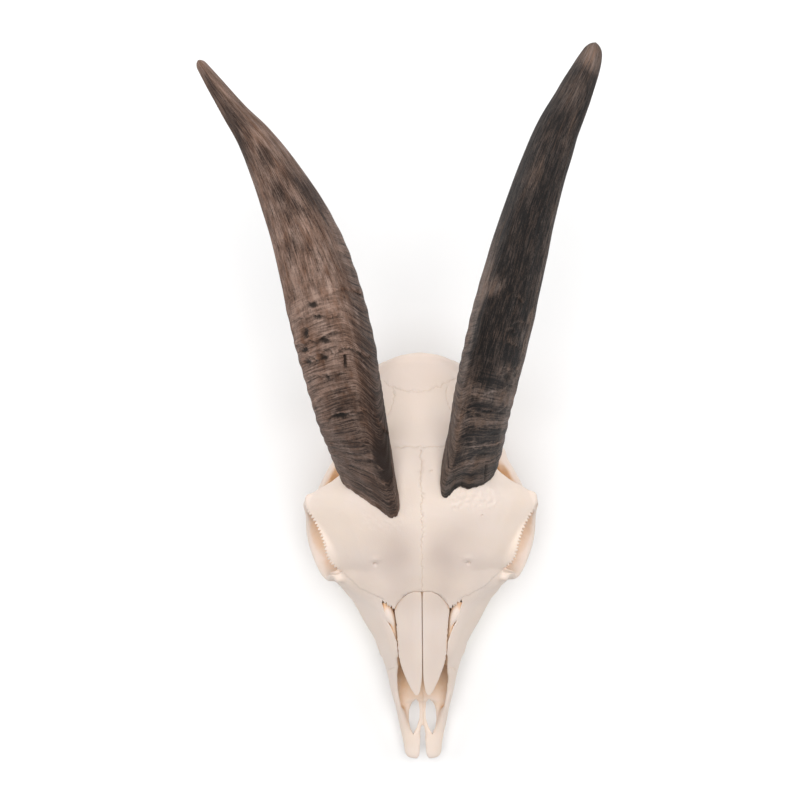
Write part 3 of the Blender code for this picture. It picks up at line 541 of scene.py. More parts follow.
def skin(stations, around=36, along=60):
    """A form that is the same on both sides, through outlines of its left half."""
    half = np.array([[(x, s, z) for x, z in outline] for s, outline in stations], float)
    lines = np.stack([through(half[:, j], along) for j in range(half.shape[1])], axis=1)
    return tube([round_through(np.vstack([ring, ring[-2:0:-1] * (-1, 1, 1)]), around) for ring in lines])


def ovals(line, run, up, side, around):
    """An oval ring at each point of a line of x, s, z, half thickness and half height along the direction up."""
    across = unit(np.cross(run, np.array(up, float) * (side, 1, 1)))
    upward = np.cross(across, run)
    turn = np.linspace(0, 2 * math.pi, around, endpoint=False)
    return [
        centre * (side, 1, 1) + np.outer(thick * np.cos(turn), a) + np.outer(high * np.sin(turn), b)
        for centre, (thick, high), a, b in zip(line[:, :3], line[:, 3:], across, upward)]


def bar(path, side=1, up=(0, 0, 1), around=16):
    """A bar of oval section along a path."""
    line = through(path, 6 * len(path))
    run = unit(np.gradient(line[:, :3] * (side, 1, 1), axis=0))
    return tube(ovals(line, run, up, side, around))


def hoop(path, up, side=1, around=12):
    """A closed bar of oval section."""
    line = round_through(path, 8 * len(path))
    centre = line[:, :3] * (side, 1, 1)
    run = unit(np.roll(centre, -1, axis=0) - np.roll(centre, 1, axis=0))
    return tube(ovals(line, run, up, side, around), closed=True)


def ball(centre, radii, side=1, lean=0.0):
    """An ellipsoid, leaned outwards by an angle in degrees about the skull's long axis."""
    x, s, z = centre
    turn = Matrix.Rotation(math.radians(side * lean), 4, "Y")
    size = Matrix.Diagonal((*(r * MM for r in radii), 1.0))
    bm = bmesh.new()
    bmesh.ops.create_uvsphere(
        bm, u_segments=24, v_segments=16, radius=1.0,
        matrix=Matrix.Translation(placed((side * x, s, z))) @ turn @ size)
    return bm


def cone(place, radii, depth, turn=None, segments=16):
    """A round peg about a place, one radius at each end, turned by a matrix."""
    bm = bmesh.new()
    bmesh.ops.create_cone(
        bm, cap_ends=True, segments=segments, radius1=radii[0] * MM, radius2=radii[1] * MM, depth=depth * MM,
        matrix=Matrix.Translation(placed(place)) @ (turn or Matrix.Identity(4)))
    return bm


def prism(outline, low, high, side=1):
    """A plan outline of x and s, drawn up from one height to another."""
    return tube([np.array([(side * x, s, z) for x, s in outline]) for z in (low, high)])


def piece(name, shapes):
    """A new object that holds the shapes, their faces turned outwards."""
    whole = bmesh.new()
    for bm in shapes:
        bmesh.ops.recalc_face_normals(bm, faces=bm.faces)
        part = bpy.data.meshes.new("shape")
        bm.to_mesh(part)
        bm.free()
        whole.from_mesh(part)
        bpy.data.meshes.remove(part)
    mesh = bpy.data.meshes.new(name)
    whole.to_mesh(mesh)
    whole.free()
    obj = bpy.data.objects.new(name, mesh)
    bpy.context.scene.collection.objects.link(obj)
    return obj


def dressed(obj, materials, which=0):
    """Give every face of an object one of some materials, which replace those it had."""
    obj.data.materials.clear()
    for mat in materials:
        obj.data.materials.append(mat)
    obj.data.polygons.foreach_set("material_index", [which] * len(obj.data.polygons))
    return obj


def settled(obj):
    """Work the object's modifiers into its mesh."""
    bpy.context.view_layer.update()
    graph = bpy.context.evaluated_depsgraph_get()
    mesh = bpy.data.meshes.new_from_object(obj.evaluated_get(graph))
    obj.modifiers.clear()
    obj.data = mesh
    return obj


def melted(obj, grain, softness):
    """Melt overlapping forms into one skin and soften its creases. Softness is in millimetres."""
    fuse = obj.modifiers.new("fuse", "REMESH")
    fuse.mode = "VOXEL"
    fuse.voxel_size = grain
    soften = obj.modifiers.new("soften", "SMOOTH")
    soften.factor = 0.5
    soften.iterations = max(1, round((softness * MM / grain) ** 2))
    return settled(obj)


def cut(obj, cutter, operation="DIFFERENCE"):
    """Cut one closed mesh out of another, or fuse it in, and throw the cutter away."""
    step = obj.modifiers.new("cut", "BOOLEAN")
    step.operation = operation
    step.object = cutter
    step.solver = "MANIFOLD"
    settled(obj)
    mesh = cutter.data
    bpy.data.objects.remove(cutter)
    bpy.data.meshes.remove(mesh)


def thinned(obj, triangles):
    """Bring a mesh down to a number of triangles, fewer where it is flat."""
    have = sum(len(p.vertices) - 2 for p in obj.data.polygons)
    thin = obj.modifiers.new("thin", "DECIMATE")
    thin.ratio = min(1.0, triangles / have)
    return settled(obj)


def coordinates(mesh):
    """A mesh's points in the tables' frame, and its normals."""
    points = np.empty(3 * len(mesh.vertices), np.float32)
    mesh.vertices.foreach_get("co", points)
    normals = np.empty(3 * len(mesh.vertices), np.float32)
    mesh.vertex_normals.foreach_get("vector", normals)
    return points.reshape(-1, 3).astype(float) / MM + ORIGIN, normals.reshape(-1, 3).astype(float)


def moved(mesh, points):
    mesh.vertices.foreach_set("co", placed(points).astype(np.float32).ravel())
    mesh.update()


def keep(mesh, name, values, vector=False):
    """Keep a number, or a vector, for each point on the mesh."""
    kind, field = ("FLOAT_VECTOR", "vector") if vector else ("FLOAT", "value")
    mesh.attributes.new(name, kind, "POINT").data.foreach_set(field, np.ravel(values).astype(np.float32))


def smooth_faces(mesh):
    mesh.polygons.foreach_set("use_smooth", [True] * len(mesh.polygons))
    mesh.update()


def tree_of(*objs):
    """A search tree over the faces of some meshes."""
    points = []
    faces = []
    for obj in objs:
        start = len(points)
        points.extend(v.co.copy() for v in obj.data.vertices)
        faces.extend([start + i for i in p.vertices] for p in obj.data.polygons)
    return BVHTree.FromPolygons(points, faces)


def hidden_share(mesh, tree, rays):
    """How much of the room round each point is shut in by bone, from 0 to 1, kept on the mesh. The bone's material
    paints yellowing and shade by it.
    """
    golden = math.pi * (3 - math.sqrt(5))
    step = np.arange(rays)
    height = np.sqrt(1 - (step + 0.5) / rays)
    flat = np.sqrt(1 - height**2)
    fan = np.column_stack([flat * np.cos(golden * step), flat * np.sin(golden * step), height])
    shares = np.zeros(len(mesh.vertices))
    for i, vert in enumerate(mesh.vertices):
        normal = vert.normal
        side = normal.orthogonal().normalized()
        other = normal.cross(side)
        start = vert.co + normal * RAY_START
        hits = 0
        for a, b, c in fan:
            if tree.ray_cast(start, side * a + other * b + normal * c, RAY_REACH)[0] is not None:
                hits += 1
        shares[i] = hits / rays
    # Each round of softening takes in the next points along the edges
    edges = np.empty(2 * len(mesh.edges), np.int64)
    mesh.edges.foreach_get("vertices", edges)
    edges = edges.reshape(-1, 2)
    for _ in range(SHARE_SOFTENING):
        total = shares.copy()
        count = np.ones(len(shares))
        for a, b in ((0, 1), (1, 0)):
            np.add.at(total, edges[:, a], shares[edges[:, b]])
            np.add.at(count, edges[:, a], 1)
        shares = total / count
    keep(mesh, "hidden", shares)


def thin_and_shade_share(mesh):
    """How much greyer the bone is, from 0 to 1, kept on the mesh: where it is thin over the hollows within, and as
    painted shade where the forehead sinks.
    """
    p, normals = coordinates(mesh)
    wander = 4.0 * rough(p, 14.0)
    ax = np.abs(p[:, 0]) + wander
    s = p[:, 1] + wander
    total = np.zeros(len(p))
    for x, at, wide, tall, share in THIN_BONE_AND_SHADE:
        total += share * np.exp(-((ax - x) / wide) ** 2 - ((s - at) / tall) ** 2)
    total *= smooth_step(0.0, 0.5, normals[:, 2]) * smooth_step(40, 55, p[:, 2])
    keep(mesh, "thin", np.clip(total, 0, 1))


# Materials

def add(tree, kind, inputs=None, **settings):
    """Add a node with its settings. An input is given a value, or another node's output to be linked from."""
    node = tree.nodes.new("ShaderNode" + kind)
    for name, value in settings.items():
        setattr(node, name, value)
    for name, value in (inputs or {}).items():
        if isinstance(value, bpy.types.NodeSocket):
            tree.links.new(value, node.inputs[name])
        else:
            node.inputs[name].default_value = value
    return node


def blank(name):
    """A new material without nodes, and its node tree."""
    mat = bpy.data.materials.new(name)
    mat.use_nodes = True
    mat.node_tree.nodes.clear()
    return mat, mat.node_tree


def finished(tree, shader):
    output = add(tree, "OutputMaterial")
    tree.links.new(shader.outputs[0], output.inputs["Surface"])


def bleached_bone(settings, name="bleached_bone", stained=False):
    """Dry bone that was simmered, degreased and bleached: matt, chalky and cream, yellower in its hollows and darker
    there as painted shade.
    """
    mat, tree = blank(name)
    place = add(tree, "TexCoord").outputs["Object"]
    # Clouds of warmer bone about 25 mm across, and mottling about 3 mm across
    clouds = add(tree, "TexNoise", {"Vector": place, "Scale": 40.0, "Detail": 2.0}).outputs["Fac"]
    mottle = add(tree, "TexNoise", {"Vector": place, "Scale": 330.0, "Detail": 3.0, "Roughness": 0.6}).outputs["Fac"]
    hidden_for_stain_and_shade = add(tree, "Attribute", attribute_name="hidden").outputs["Fac"]
    warmth = add(tree, "MapRange", {0: clouds, 1: 0.35, 2: 0.75, 3: 0.0, 4: 0.55}).outputs[0]
    if stained:
        base = add(tree, "Mix", {0: mottle, 6: (*settings.seam, 1), 7: (*settings.hollow, 1)}, data_type="RGBA")
    else:
        base = add(tree, "Mix", {0: warmth, 6: (*settings.bone, 1), 7: (*settings.warm, 1)}, data_type="RGBA")
    # Painted shade with yellowing: the more shut in a point is, the more it takes the darker, yellower hollow colour
    depth = add(tree, "MapRange", {0: hidden_for_stain_and_shade, 1: 0.34, 2: 0.80, 3: 0.0, 4: 1.0}).outputs[0]
    patchy = add(tree, "MapRange", {0: mottle, 1: 0.3, 2: 0.7, 3: 0.75, 4: 1.1}).outputs[0]
    depth = add(tree, "Math", {0: depth, 1: patchy}, operation="MULTIPLY", use_clamp=True).outputs[0]
    deep = add(tree, "Mix", {0: depth, 6: base.outputs[2], 7: (*settings.hollow, 1)}, data_type="RGBA")
    spots = add(tree, "MapRange", {0: mottle, 1: 0.30, 2: 0.42, 3: 0.12, 4: 0.0}).outputs[0]
    spotted = add(tree, "Mix", {0: spots, 6: deep.outputs[2], 7: (*settings.warm, 1)}, data_type="RGBA").outputs[2]
    # Painted shade and thin bone: greyer on the sunken forehead and where the bone is thin
    thin = add(tree, "Attribute", attribute_name="thin").outputs["Fac"]
    colour = add(tree, "Mix", {0: thin, 6: spotted, 7: (*settings.thin, 1)}, data_type="RGBA").outputs[2]
    # Pores about 0.4 mm across, drawn a little coarser than life so that they show
    pores = add(tree, "TexNoise", {"Vector": place, "Scale": 1500.0, "Detail": 2.0}).outputs["Fac"]
    height = add(tree, "Math", {0: mottle, 1: 0.6, 2: pores}, operation="MULTIPLY_ADD").outputs[0]
    bump = add(tree, "Bump", {"Height": height, "Strength": 0.5, "Distance": 0.00015}).outputs[0]
    finished(tree, add(tree, "BsdfPrincipled", {
        "Base Color": colour, "Roughness": 0.62, "IOR": 1.5, "Normal": bump, "Subsurface Weight": 0.08,
        "Subsurface Radius": (0.004, 0.0025, 0.0015), "Subsurface Scale": 0.5}))
    return mat


def worn_tooth(settings):
    """Enamel over dentine, polished by chewing and stained in its folds."""
    mat, tree = blank("worn_tooth")
    place = add(tree, "TexCoord").outputs["Object"]
    worn = add(tree, "Attribute", attribute_name="worn").outputs["Fac"]
    mottle = add(tree, "TexNoise", {"Vector": place, "Scale": 500.0, "Detail": 3.0}).outputs["Fac"]
    stain = add(tree, "MapRange", {0: mottle, 1: 0.35, 2: 0.7, 3: 0.0, 4: 0.35}).outputs[0]
    both = add(tree, "Math", {0: stain, 1: worn}, operation="ADD", use_clamp=True).outputs[0]
    colour = add(tree, "Mix", {0: both, 6: (*settings.enamel, 1), 7: (*settings.dentine, 1)}, data_type="RGBA")
    bump = add(tree, "Bump", {"Height": mottle, "Strength": 0.3, "Distance": 0.0002}).outputs[0]
    finished(tree, add(tree, "BsdfPrincipled", {
        "Base Color": colour.outputs[2], "Roughness": 0.34, "IOR": 1.62, "Normal": bump}))
    return mat


def weathered_horn(name, dark, light, brown, frayed):
    """Horn that grew in yearly layers and weathered outdoors: fine growth lines near the root, frayed fibres above.

    The attribute straight holds each point as if the horn were straight, in millimetres, with y along it.
    The attribute marks holds how much painted shade darkens each point in torn hollows and pits, how pale and how
    fibrous it is.
    """
    mat, tree = blank(name)
    straight = add(tree, "Attribute", attribute_name="straight").outputs["Vector"]
    marks = add(tree, "Attribute", attribute_name="marks").outputs["Vector"]
    pit_shade, tone, fibrous = add(tree, "SeparateXYZ", {0: marks}).outputs
    patterns = []
    for stretch, scale, detail, roughness, distortion in (
        # Growth lines about 0.9 mm apart, which run round the horn and wander a little
        ((0.06, 1.0, 0.06), 1.2, 3.0, 0.75, 0.2),
        # Fibres about 0.5 mm wide and some 6 mm long, which run up the horn
        ((1.0, 0.09, 1.0), 1.5, 4.0, 0.75, 0.3),
        # Specks about 0.8 mm across
        ((1.0, 1.0, 1.0), 1.3, 3.0, 0.8, 0.0),
        # Blotches some 6 mm long that lie with the lines or with the fibres, and broader brown streaks
        ((0.45, 1.0, 0.45), 0.42, 4.0, 0.7, 0.0),
        ((1.0, 0.35, 1.0), 0.30, 4.0, 0.7, 0.0),
        ((1.0, 0.35, 1.0), 0.22, 3.0, 0.65, 0.0),
    ):
        drawn = add(tree, "Mapping", {"Vector": straight, "Scale": stretch}).outputs[0]
        patterns.append(add(tree, "TexNoise", {
            "Vector": drawn, "Scale": scale, "Detail": detail, "Roughness": roughness,
            "Distortion": distortion}).outputs["Fac"])
    lines, fibres, specks, banded, streaked, tint = patterns
    mottle = add(tree, "Mix", {0: fibrous, 2: banded, 3: streaked}, data_type="FLOAT").outputs[0]
    fine = add(tree, "Mix", {0: fibrous, 2: lines, 3: fibres}, data_type="FLOAT").outputs[0]
    uneven = 0.0
    for pattern, low, share in ((fine, 0.36, 1.0), (specks, 0.34, 0.45), (mottle, 0.34, 0.5)):
        swing = share * frayed
        change = add(tree, "MapRange", {0: pattern, 1: low, 2: 1 - low, 3: -swing, 4: swing}).outputs[0]
        uneven = add(tree, "Math", {0: uneven, 1: change}, operation="ADD").outputs[0]
    # Paler horn is more weathered and shows its grain more
    worn = add(tree, "Math", {0: tone, 1: 0.5}, operation="ADD").outputs[0]
    pale = add(tree, "Math", {0: uneven, 1: worn, 2: tone}, operation="MULTIPLY_ADD", use_clamp=True).outputs[0]
    warmth = add(tree, "MapRange", {0: tint, 1: 0.30, 2: 0.70, 3: 0.0, 4: 1.0}).outputs[0]
    lit = add(tree, "Mix", {0: warmth, 6: (*light, 1), 7: (*brown, 1)}, data_type="RGBA").outputs[2]
    body = add(tree, "Mix", {0: pale, 6: (*dark, 1), 7: lit}, data_type="RGBA").outputs[2]
    # Painted shade: the hollows under torn edges and the pits darken toward near black
    body = add(tree, "Mix", {0: pit_shade, 6: body, 7: (*linear("#17130F"), 1)}, data_type="RGBA").outputs[2]
    height = add(tree, "Math", {0: specks, 1: 0.5, 2: fine}, operation="MULTIPLY_ADD").outputs[0]
    bump = add(tree, "Bump", {"Height": height, "Strength": 0.7, "Distance": 0.0005}).outputs[0]
    # Frayed fibres scatter most of the gloss away
    finished(tree, add(tree, "BsdfPrincipled", {
        "Base Color": body, "Roughness": 0.62, "IOR": 1.54, "Specular IOR Level": 0.22, "Normal": bump}))
    return mat


def painted_floor(colour):
    """A matt white painted board."""
    mat, tree = blank("painted_floor")
    place = add(tree, "TexCoord").outputs["Object"]
    grain = add(tree, "TexNoise", {"Vector": place, "Scale": 400.0, "Detail": 2.0}).outputs["Fac"]
    bump = add(tree, "Bump", {"Height": grain, "Strength": 0.05, "Distance": 0.0002}).outputs[0]
    finished(tree, add(tree, "BsdfPrincipled", {"Base Color": (*colour, 1), "Roughness": 0.8, "Normal": bump}))
    return mat


# The cranium

def roof_outline(width, top, rim, thick):
    """The left half of the roof's outline, from the midline out over the rim and back underneath."""
    fall = top - rim
    return [(0, top), (0.35 * width, top - 0.06 * fall), (0.68 * width, top - 0.36 * fall),
            (0.97 * width, rim + 0.03 * fall), (0.99 * width, rim - thick),
            (0.66 * width, rim + 0.42 * fall - 1.6 * thick), (0.33 * width, rim - 6), (0, rim - 8)]


def bone_forms():
    """Everything solid that melts into the cranium."""
    shapes = [skin(MUZZLE), skin(BRAINCASE), skin([(s, roof_outline(*sizes)) for s, *sizes in ROOF])]
    for side in SIDES.values():
        shapes.append(hoop(ORBIT_RING, ORBIT_FACING, side))
        shapes.append(bar(ORBIT_CUP, side, around=32))
        shapes += [bar(path, side, up) for up, path in BARS.values()]
        shapes += [ball(centre, radii, side, lean) for centre, radii, lean in KNOBS.values()]
    return piece("cranium_bone", shapes)


def hollow_forms():
    """The rooms inside the bone, each with a way out."""
    shapes = [skin(NASAL_CAVITY), ball(*BRAIN), bar(FORAMEN_MAGNUM)]
    for side in SIDES.values():
        shapes += [bar(path, side, around=32) for path in FUNNELS.values()]
        shapes += [ball(*TEMPORAL_FOSSA, side), ball(*ORBIT_NOTCH, side)]
    return piece("hollows", shapes)


def arched(x, height):
    """The height of a nasal bone's upper face at a distance x from the midline."""
    return height - NASAL_ARCH * (np.abs(x) / NASAL_HALF) ** 2.2


def nasal_bed():
    """What the two nasal bones take out of the roof that they lie in."""
    rings = []
    for s, _, outer, height in through(NASAL, 60):
        x = np.linspace(-outer - JOINT_GAP, outer + JOINT_GAP, 17)
        back = s + JOINT_GAP * (s > 90)
        under = [(a, back, b - NASAL_THICK - JOINT_GAP) for a, b in zip(x, arched(x, height))]
        rings.append(np.array(under + [(a, back, height + 14) for a in x[::-1]]))
    return piece("nasal_bed", [tube(rings)])


def tooth_trench(side):
    """The groove that holds one row of teeth, a joint gap wider than they are."""
    inner = []
    outer = []
    for middle, front, length, width, _ in TEETH.values():
        for s in (front, front + length):
            inner.append([middle - width / 2 - JOINT_GAP, s])
            outer.append([middle + width / 2 + JOINT_GAP, s])
    for line in (inner, outer):
        line[0][1] -= JOINT_GAP
        line[-1][1] += JOINT_GAP
    return prism(inner + outer[::-1], -2, SOCKET_TOP, side)


def on_bone(tree, x, s, top=130.0):
    """The point of the bone straight below a place in plan, and the way its face points."""
    hit, normal, _, _ = tree.ray_cast(Vector(placed((x, s, top))), Vector((0, 0, -1)))
    if hit is None:
        return None, None
    return np.array(hit) / MM + ORIGIN, np.array(normal)


def brow_saw(pitch):
    """What is cut off outside the rim over each eye, so that blood vessels leave the rim a fine saw."""
    shapes = []
    count = 260
    edge = through(BROW_EDGE, count)
    run = unit(np.gradient(edge, axis=0))
    along = np.concatenate([[0], np.cumsum(np.hypot(*np.diff(edge, axis=0).T))])
    # The saw fades out over 5 mm at the notch and over 3 mm at the rear
    ends = smooth_step(0, 5, along) * smooth_step(along[-1], along[-1] - 3, along)
    for side in SIDES.values():
        uneven = rough(np.column_stack([along / 2.6, np.full(count, 3.0 * side), np.zeros(count)]), 1.0)
        teeth = np.abs(np.sin(math.pi * (along / (pitch / MM) + 0.25 * uneven)))
        depth = (1.5 + 0.6 * uneven) * (teeth - 0.6) * ends
        saw = edge + np.column_stack([run[:, 1], -run[:, 0]]) * depth[:, None]
        # The cut's other corners lie well clear of the rim
        shapes.append(prism([*saw, (74, 141), (74, 102.6), (45, 102.6)], *BROW_CUT, side))
    return piece("brow_saw", shapes)


def seam_paths():
    """The lines in plan along which the bones of the roof meet: x and s, about 0.6 mm apart."""
    def wavy(points, wave, size, key):
        line = through(points, int(np.abs(np.diff(np.array(points), axis=0)).sum() / 0.6) + 4)
        run = unit(np.gradient(line, axis=0))
        # A broad wave with a finer one of half its height
        shift = np.array([
            noise.noise(Vector((i * 0.6 / size, key, 0.0))) + 0.5 * noise.noise(Vector((i * 1.5 / size, key, 5.0)))
            for i in range(len(line))])
        return line + np.column_stack([-run[:, 1], run[:, 0]]) * (shift * wave)[:, None]

    paths = [
        wavy([(-0.4, 169.0), (0.2, 160), (-0.4, 152), (0.4, 146.5)], 1.2, 2.6, 1.0),
        wavy([(0.4, 146.5), (-0.2, 138), (0.2, 131), (0.6, 126)], 1.4, 2.6, 2.0),
        wavy([(0.6, 126), (-0.2, 118), (0.2, 108), (-0.1, 97), (-0.1, 94.4)], 1.0, 3.0, 3.0),
        wavy([(-14.0, 169.4), (-6, 169.9), (2, 169.6), (9, 169.8), (14.0, 169.4)], 0.9, 2.4, 4.0),
        wavy([(-19, 203.0), (-12, 199.6), (-2, 197.8), (8, 199.8), (19.5, 205.0)], 1.3, 2.4, 5.0),
        [(0.25, s) for s in np.arange(15.5, 37, 0.6)],
    ]
    for side in SIDES.values():
        paths += [
            wavy([(side * 13.4, 50.6), (side * 15.2, 51.4), (side * 17, 50.4), (side * 18.6, 48.0)], 0.8, 1.6,
                 13.0 + side),
            wavy([(side * 14.5, 201), (side * 13.5, 196), (side * 14.8, 190), (side * 18, 184)], 0.8, 2.4, 15.0 + side),
        ]
    return paths


def seam_blade(tree, path, width, depth):
    """A thin blade that lies along a seam, to be cut out of the bone."""
    points = []
    normals = []
    for x, s in path:
        hit, normal = on_bone(tree, x, s)
        # The blade ends where the bone drops away
        if hit is not None and (not points or abs(hit[2] - points[-1][2]) < 1.5):
            points.append(hit)
            normals.append(normal)
    if len(points) < 4:
        return None
    normals = unit(np.array(normals))
    across = unit(np.cross(unit(np.gradient(np.array(points), axis=0)), normals))
    rings = []
    for i, (point, normal, aside) in enumerate(zip(points, normals, across)):
        # The groove runs out over five points at each end
        fade = min(1.0, (i + 1) / 5, (len(points) - i) / 5)
        top = point + normal * 0.6
        rings.append(np.array([top - aside * width, top + aside * width, point - normal * depth * fade]))
    return piece("seam_blade", [tube(rings)])


def foramina(tree):
    """Small holes for nerves and vessels, each narrower at one end."""
    shapes = []
    for side in SIDES.values():
        for x, s, radius, aim, length in ROOF_HOLES:
            hit, _ = on_bone(tree, side * x, s)
            # Behind the eyes only the left side has such holes
            if hit is None or (s > 130 and side < 0):
                continue
            turn = Vector(aim).normalized().to_track_quat("Z", "Y").to_matrix().to_4x4()
            shapes.append(cone(hit, (1.2 * radius, 0.6 * radius), length, turn))
        for x, s, z, radius in BASE_HOLES:
            shapes.append(cone((side * x, s, z), (radius, 0.6 * radius), 9))
    return piece("foramina", shapes)


def relief(mesh):
    """Low forms and roughness of the bone's outside, in millimetres along its normals."""
    p, normals = coordinates(mesh)
    x, s, _ = p.T
    ax = np.abs(x)
    up = smooth_step(0.1, 0.6, normals[:, 2])
    shift = 0.16 * rough(p, 9.0) + 0.05 * rough(p, 2.6)

    def dome(cx, cs, rx, rs, height):
        return height * np.exp(-(((ax - cx) / rx) ** 2 + ((s - cs) / rs) ** 2)) * up

    # The sunken forehead with its raised midline, and the lip and the furrow of the hole over each brow
    shift += dome(17, 113, 10, 15, -1.7) + dome(0, 122, 5, 26, 0.45)
    shift += dome(24, 111.0, 2.8, 1.5, 0.60) + dome(24, 107.4, 2.2, 3.2, -0.55)
    # The frontal bone ends in a step over the bones in front of it
    ahead = np.interp(ax, (20, 27, 33, 40.6), (89.4, 92.6, 95.8, 103.5)) - s + 0.7 * rough(p, 1.6)
    step = smooth_step(-0.3, 0.3, ahead) * np.exp(-np.maximum(ahead, 0) / 5.0)
    shift -= 0.85 * step * up * smooth_step(19, 22, ax) * smooth_step(42, 38, ax)
    # Rough bone under the left horn's rim, and a little under the right one's
    left = smooth_step(12, 17, x) * smooth_step(42, 37, x) * smooth_step(135, 140, s) * smooth_step(152, 147, s)
    right = smooth_step(-8, -12, x) * smooth_step(-34, -26, x) * smooth_step(124, 130, s) * smooth_step(146, 138, s)
    rough_brow = left + 0.4 * right
    patch = rough_brow * up > 0.01
    lumps = np.zeros(len(p))
    lumps[patch] = rough(p[patch], 2.4, 3)
    shift += 0.42 * lumps * rough_brow * up
    moved(mesh, p + normals * shift[:, None])


class GOATSKULL_OT_cranium(bpy.types.Operator):
    """Build the cranium in bleached bone over its solid"""

    bl_idname = "goat_skull.cranium"
    bl_label = "Cranium"

    def execute(self, context):
        bone = context.scene.goat_skull.bone
        both = SIDES.values()
        grain = bone.grain * 1.0
        cranium = melted(bone_forms(), grain, OUTER_SOFTNESS)
        cut(cranium, melted(hollow_forms(), grain, HOLLOW_SOFTNESS))
        melted(cranium, grain, EDGE_SOFTNESS)
        relief(cranium.data)
        materials = (bleached_bone(bone), bleached_bone(bone, "stained_bone", stained=True))
        dressed(cranium, materials)
        cut(cranium, nasal_bed())
        cut(cranium, piece("fontanelles", [prism(FONTANELLE, *NOSE_CUT, side) for side in both]))
        scrolls = piece("turbinates", [bar(TURBINATE, side, around=20) for side in both])
        cut(cranium, dressed(scrolls, materials), "UNION")
        cut(cranium, piece("tooth_trenches", [tooth_trench(side) for side in both]))
        # The jugular processes stand flat on the table
        cut(cranium, piece("table", [prism([(-60, 150), (60, 150), (60, 230), (-60, 230)], -20, 0.02)]))
        cut(cranium, piece("fissures", [prism(FISSURE, *PALATE_CUT, side) for side in both]))
        gap = INCISIVE_GAP + [(-x, s) for x, s in INCISIVE_GAP[-2::-1]]
        cut(cranium, piece("incisive_gap", [prism(gap, *PALATE_CUT)]))
        cut(cranium, brow_saw(bone.notch_pitch))
        tree = tree_of(cranium)
        cut(cranium, foramina(tree))
        for path in seam_paths():
            blade = seam_blade(tree, path, bone.seam_width / MM, bone.seam_depth / MM)
            if blade:
                dressed(blade, materials, 1)
                cut(cranium, blade)
        thinned(cranium, bone.triangles * (1.0))
        smooth_faces(cranium.data)
        nasals = [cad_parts[f"nasal_bone_{which}"] for which in SIDES]
        hidden_share(cranium.data, tree_of(cranium, *nasals), 14)
        thin_and_shade_share(cranium.data)
        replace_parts(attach(cranium, "root"), "cranium")
        return {"FINISHED"}


class GOATSKULL_OT_nasal_bones(bpy.types.Operator):
    """Build the two nasal bones over their solids"""

    bl_idname = "goat_skull.nasal_bones"
    bl_label = "Nasal bones"

    def execute(self, context):
        bone = context.scene.goat_skull.bone
        mat = bleached_bone(bone, "bleached_nasal_bone")
        for which, side in SIDES.items():
            rings = []
            for s, inner, outer, height in through(NASAL, 260):
                # The outer edge is ragged along the gap beside it
                ragged = smooth_step(54, 58, s) * smooth_step(82, 76, s)
                outer += ragged * 0.5 * noise.noise(Vector((s / 1.6, side * 4.0, 0.0)))
                # The rear ends fit their beds closely
                snug = 0.22 * smooth_step(80, 86, s)
                outer += snug
                s += snug * smooth_step(86, 93, s)
                x = np.linspace(inner, max(outer, inner + 0.6), 34)
                wave = np.array([
                    0.14 * noise.noise(Vector((a / 5, s / 16, side))) + 0.05 * noise.noise(Vector((a / 1.6, s / 9, 3)))
                    for a in x])
                # The bone is rounded off and thinner towards its edges
                room = np.minimum(x - x[0], x[-1] - x)
                above = arched(x, height) + wave - 0.05 - 0.25 * np.exp(-room / 0.35)
                edge = np.clip(3 * room / (x[-1] - x[0]), 0.35, 1)
                top = [(side * a, s, b) for a, b in zip(x, above)]
                under = [(side * a, s, b - NASAL_THICK * e) for a, b, e in zip(x[::-1], above[::-1], edge[::-1])]
                rings.append(np.array(top + under))
            nasal = piece(f"nasal_{which}", [tube(rings)])
            smooth_faces(nasal.data)
            nasal.data.materials.append(mat)
            hidden_share(nasal.data, tree_of(nasal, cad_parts["cranium"]), 6)
            thin_and_shade_share(nasal.data)
            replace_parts(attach(nasal, "root"), f"nasal_bone_{which}")
        return {"FINISHED"}


# Teeth

def tooth_face(u, w, lobes):
    """How worn the chewing face is at a place across and along it, 0 on enamel and 1 deep in a fold."""
    worn = np.full(u.shape, 0.55)
    for i in range(lobes):
        middle = (i + 0.5) / lobes - 0.5
        v = (w - middle) * lobes
        # Each lobe has a bowed fold with a ridge of enamel round it
        bow = u + 0.06 - 0.45 * v**2
        near = np.hypot(bow, np.maximum(np.abs(v) - 0.30, 0))
        fold = np.exp(-(near / 0.045) ** 2)
        enamel = np.exp(-((near - 0.12) / 0.035) ** 2)
        worn = np.maximum(worn * (1 - enamel), fold)
    return worn


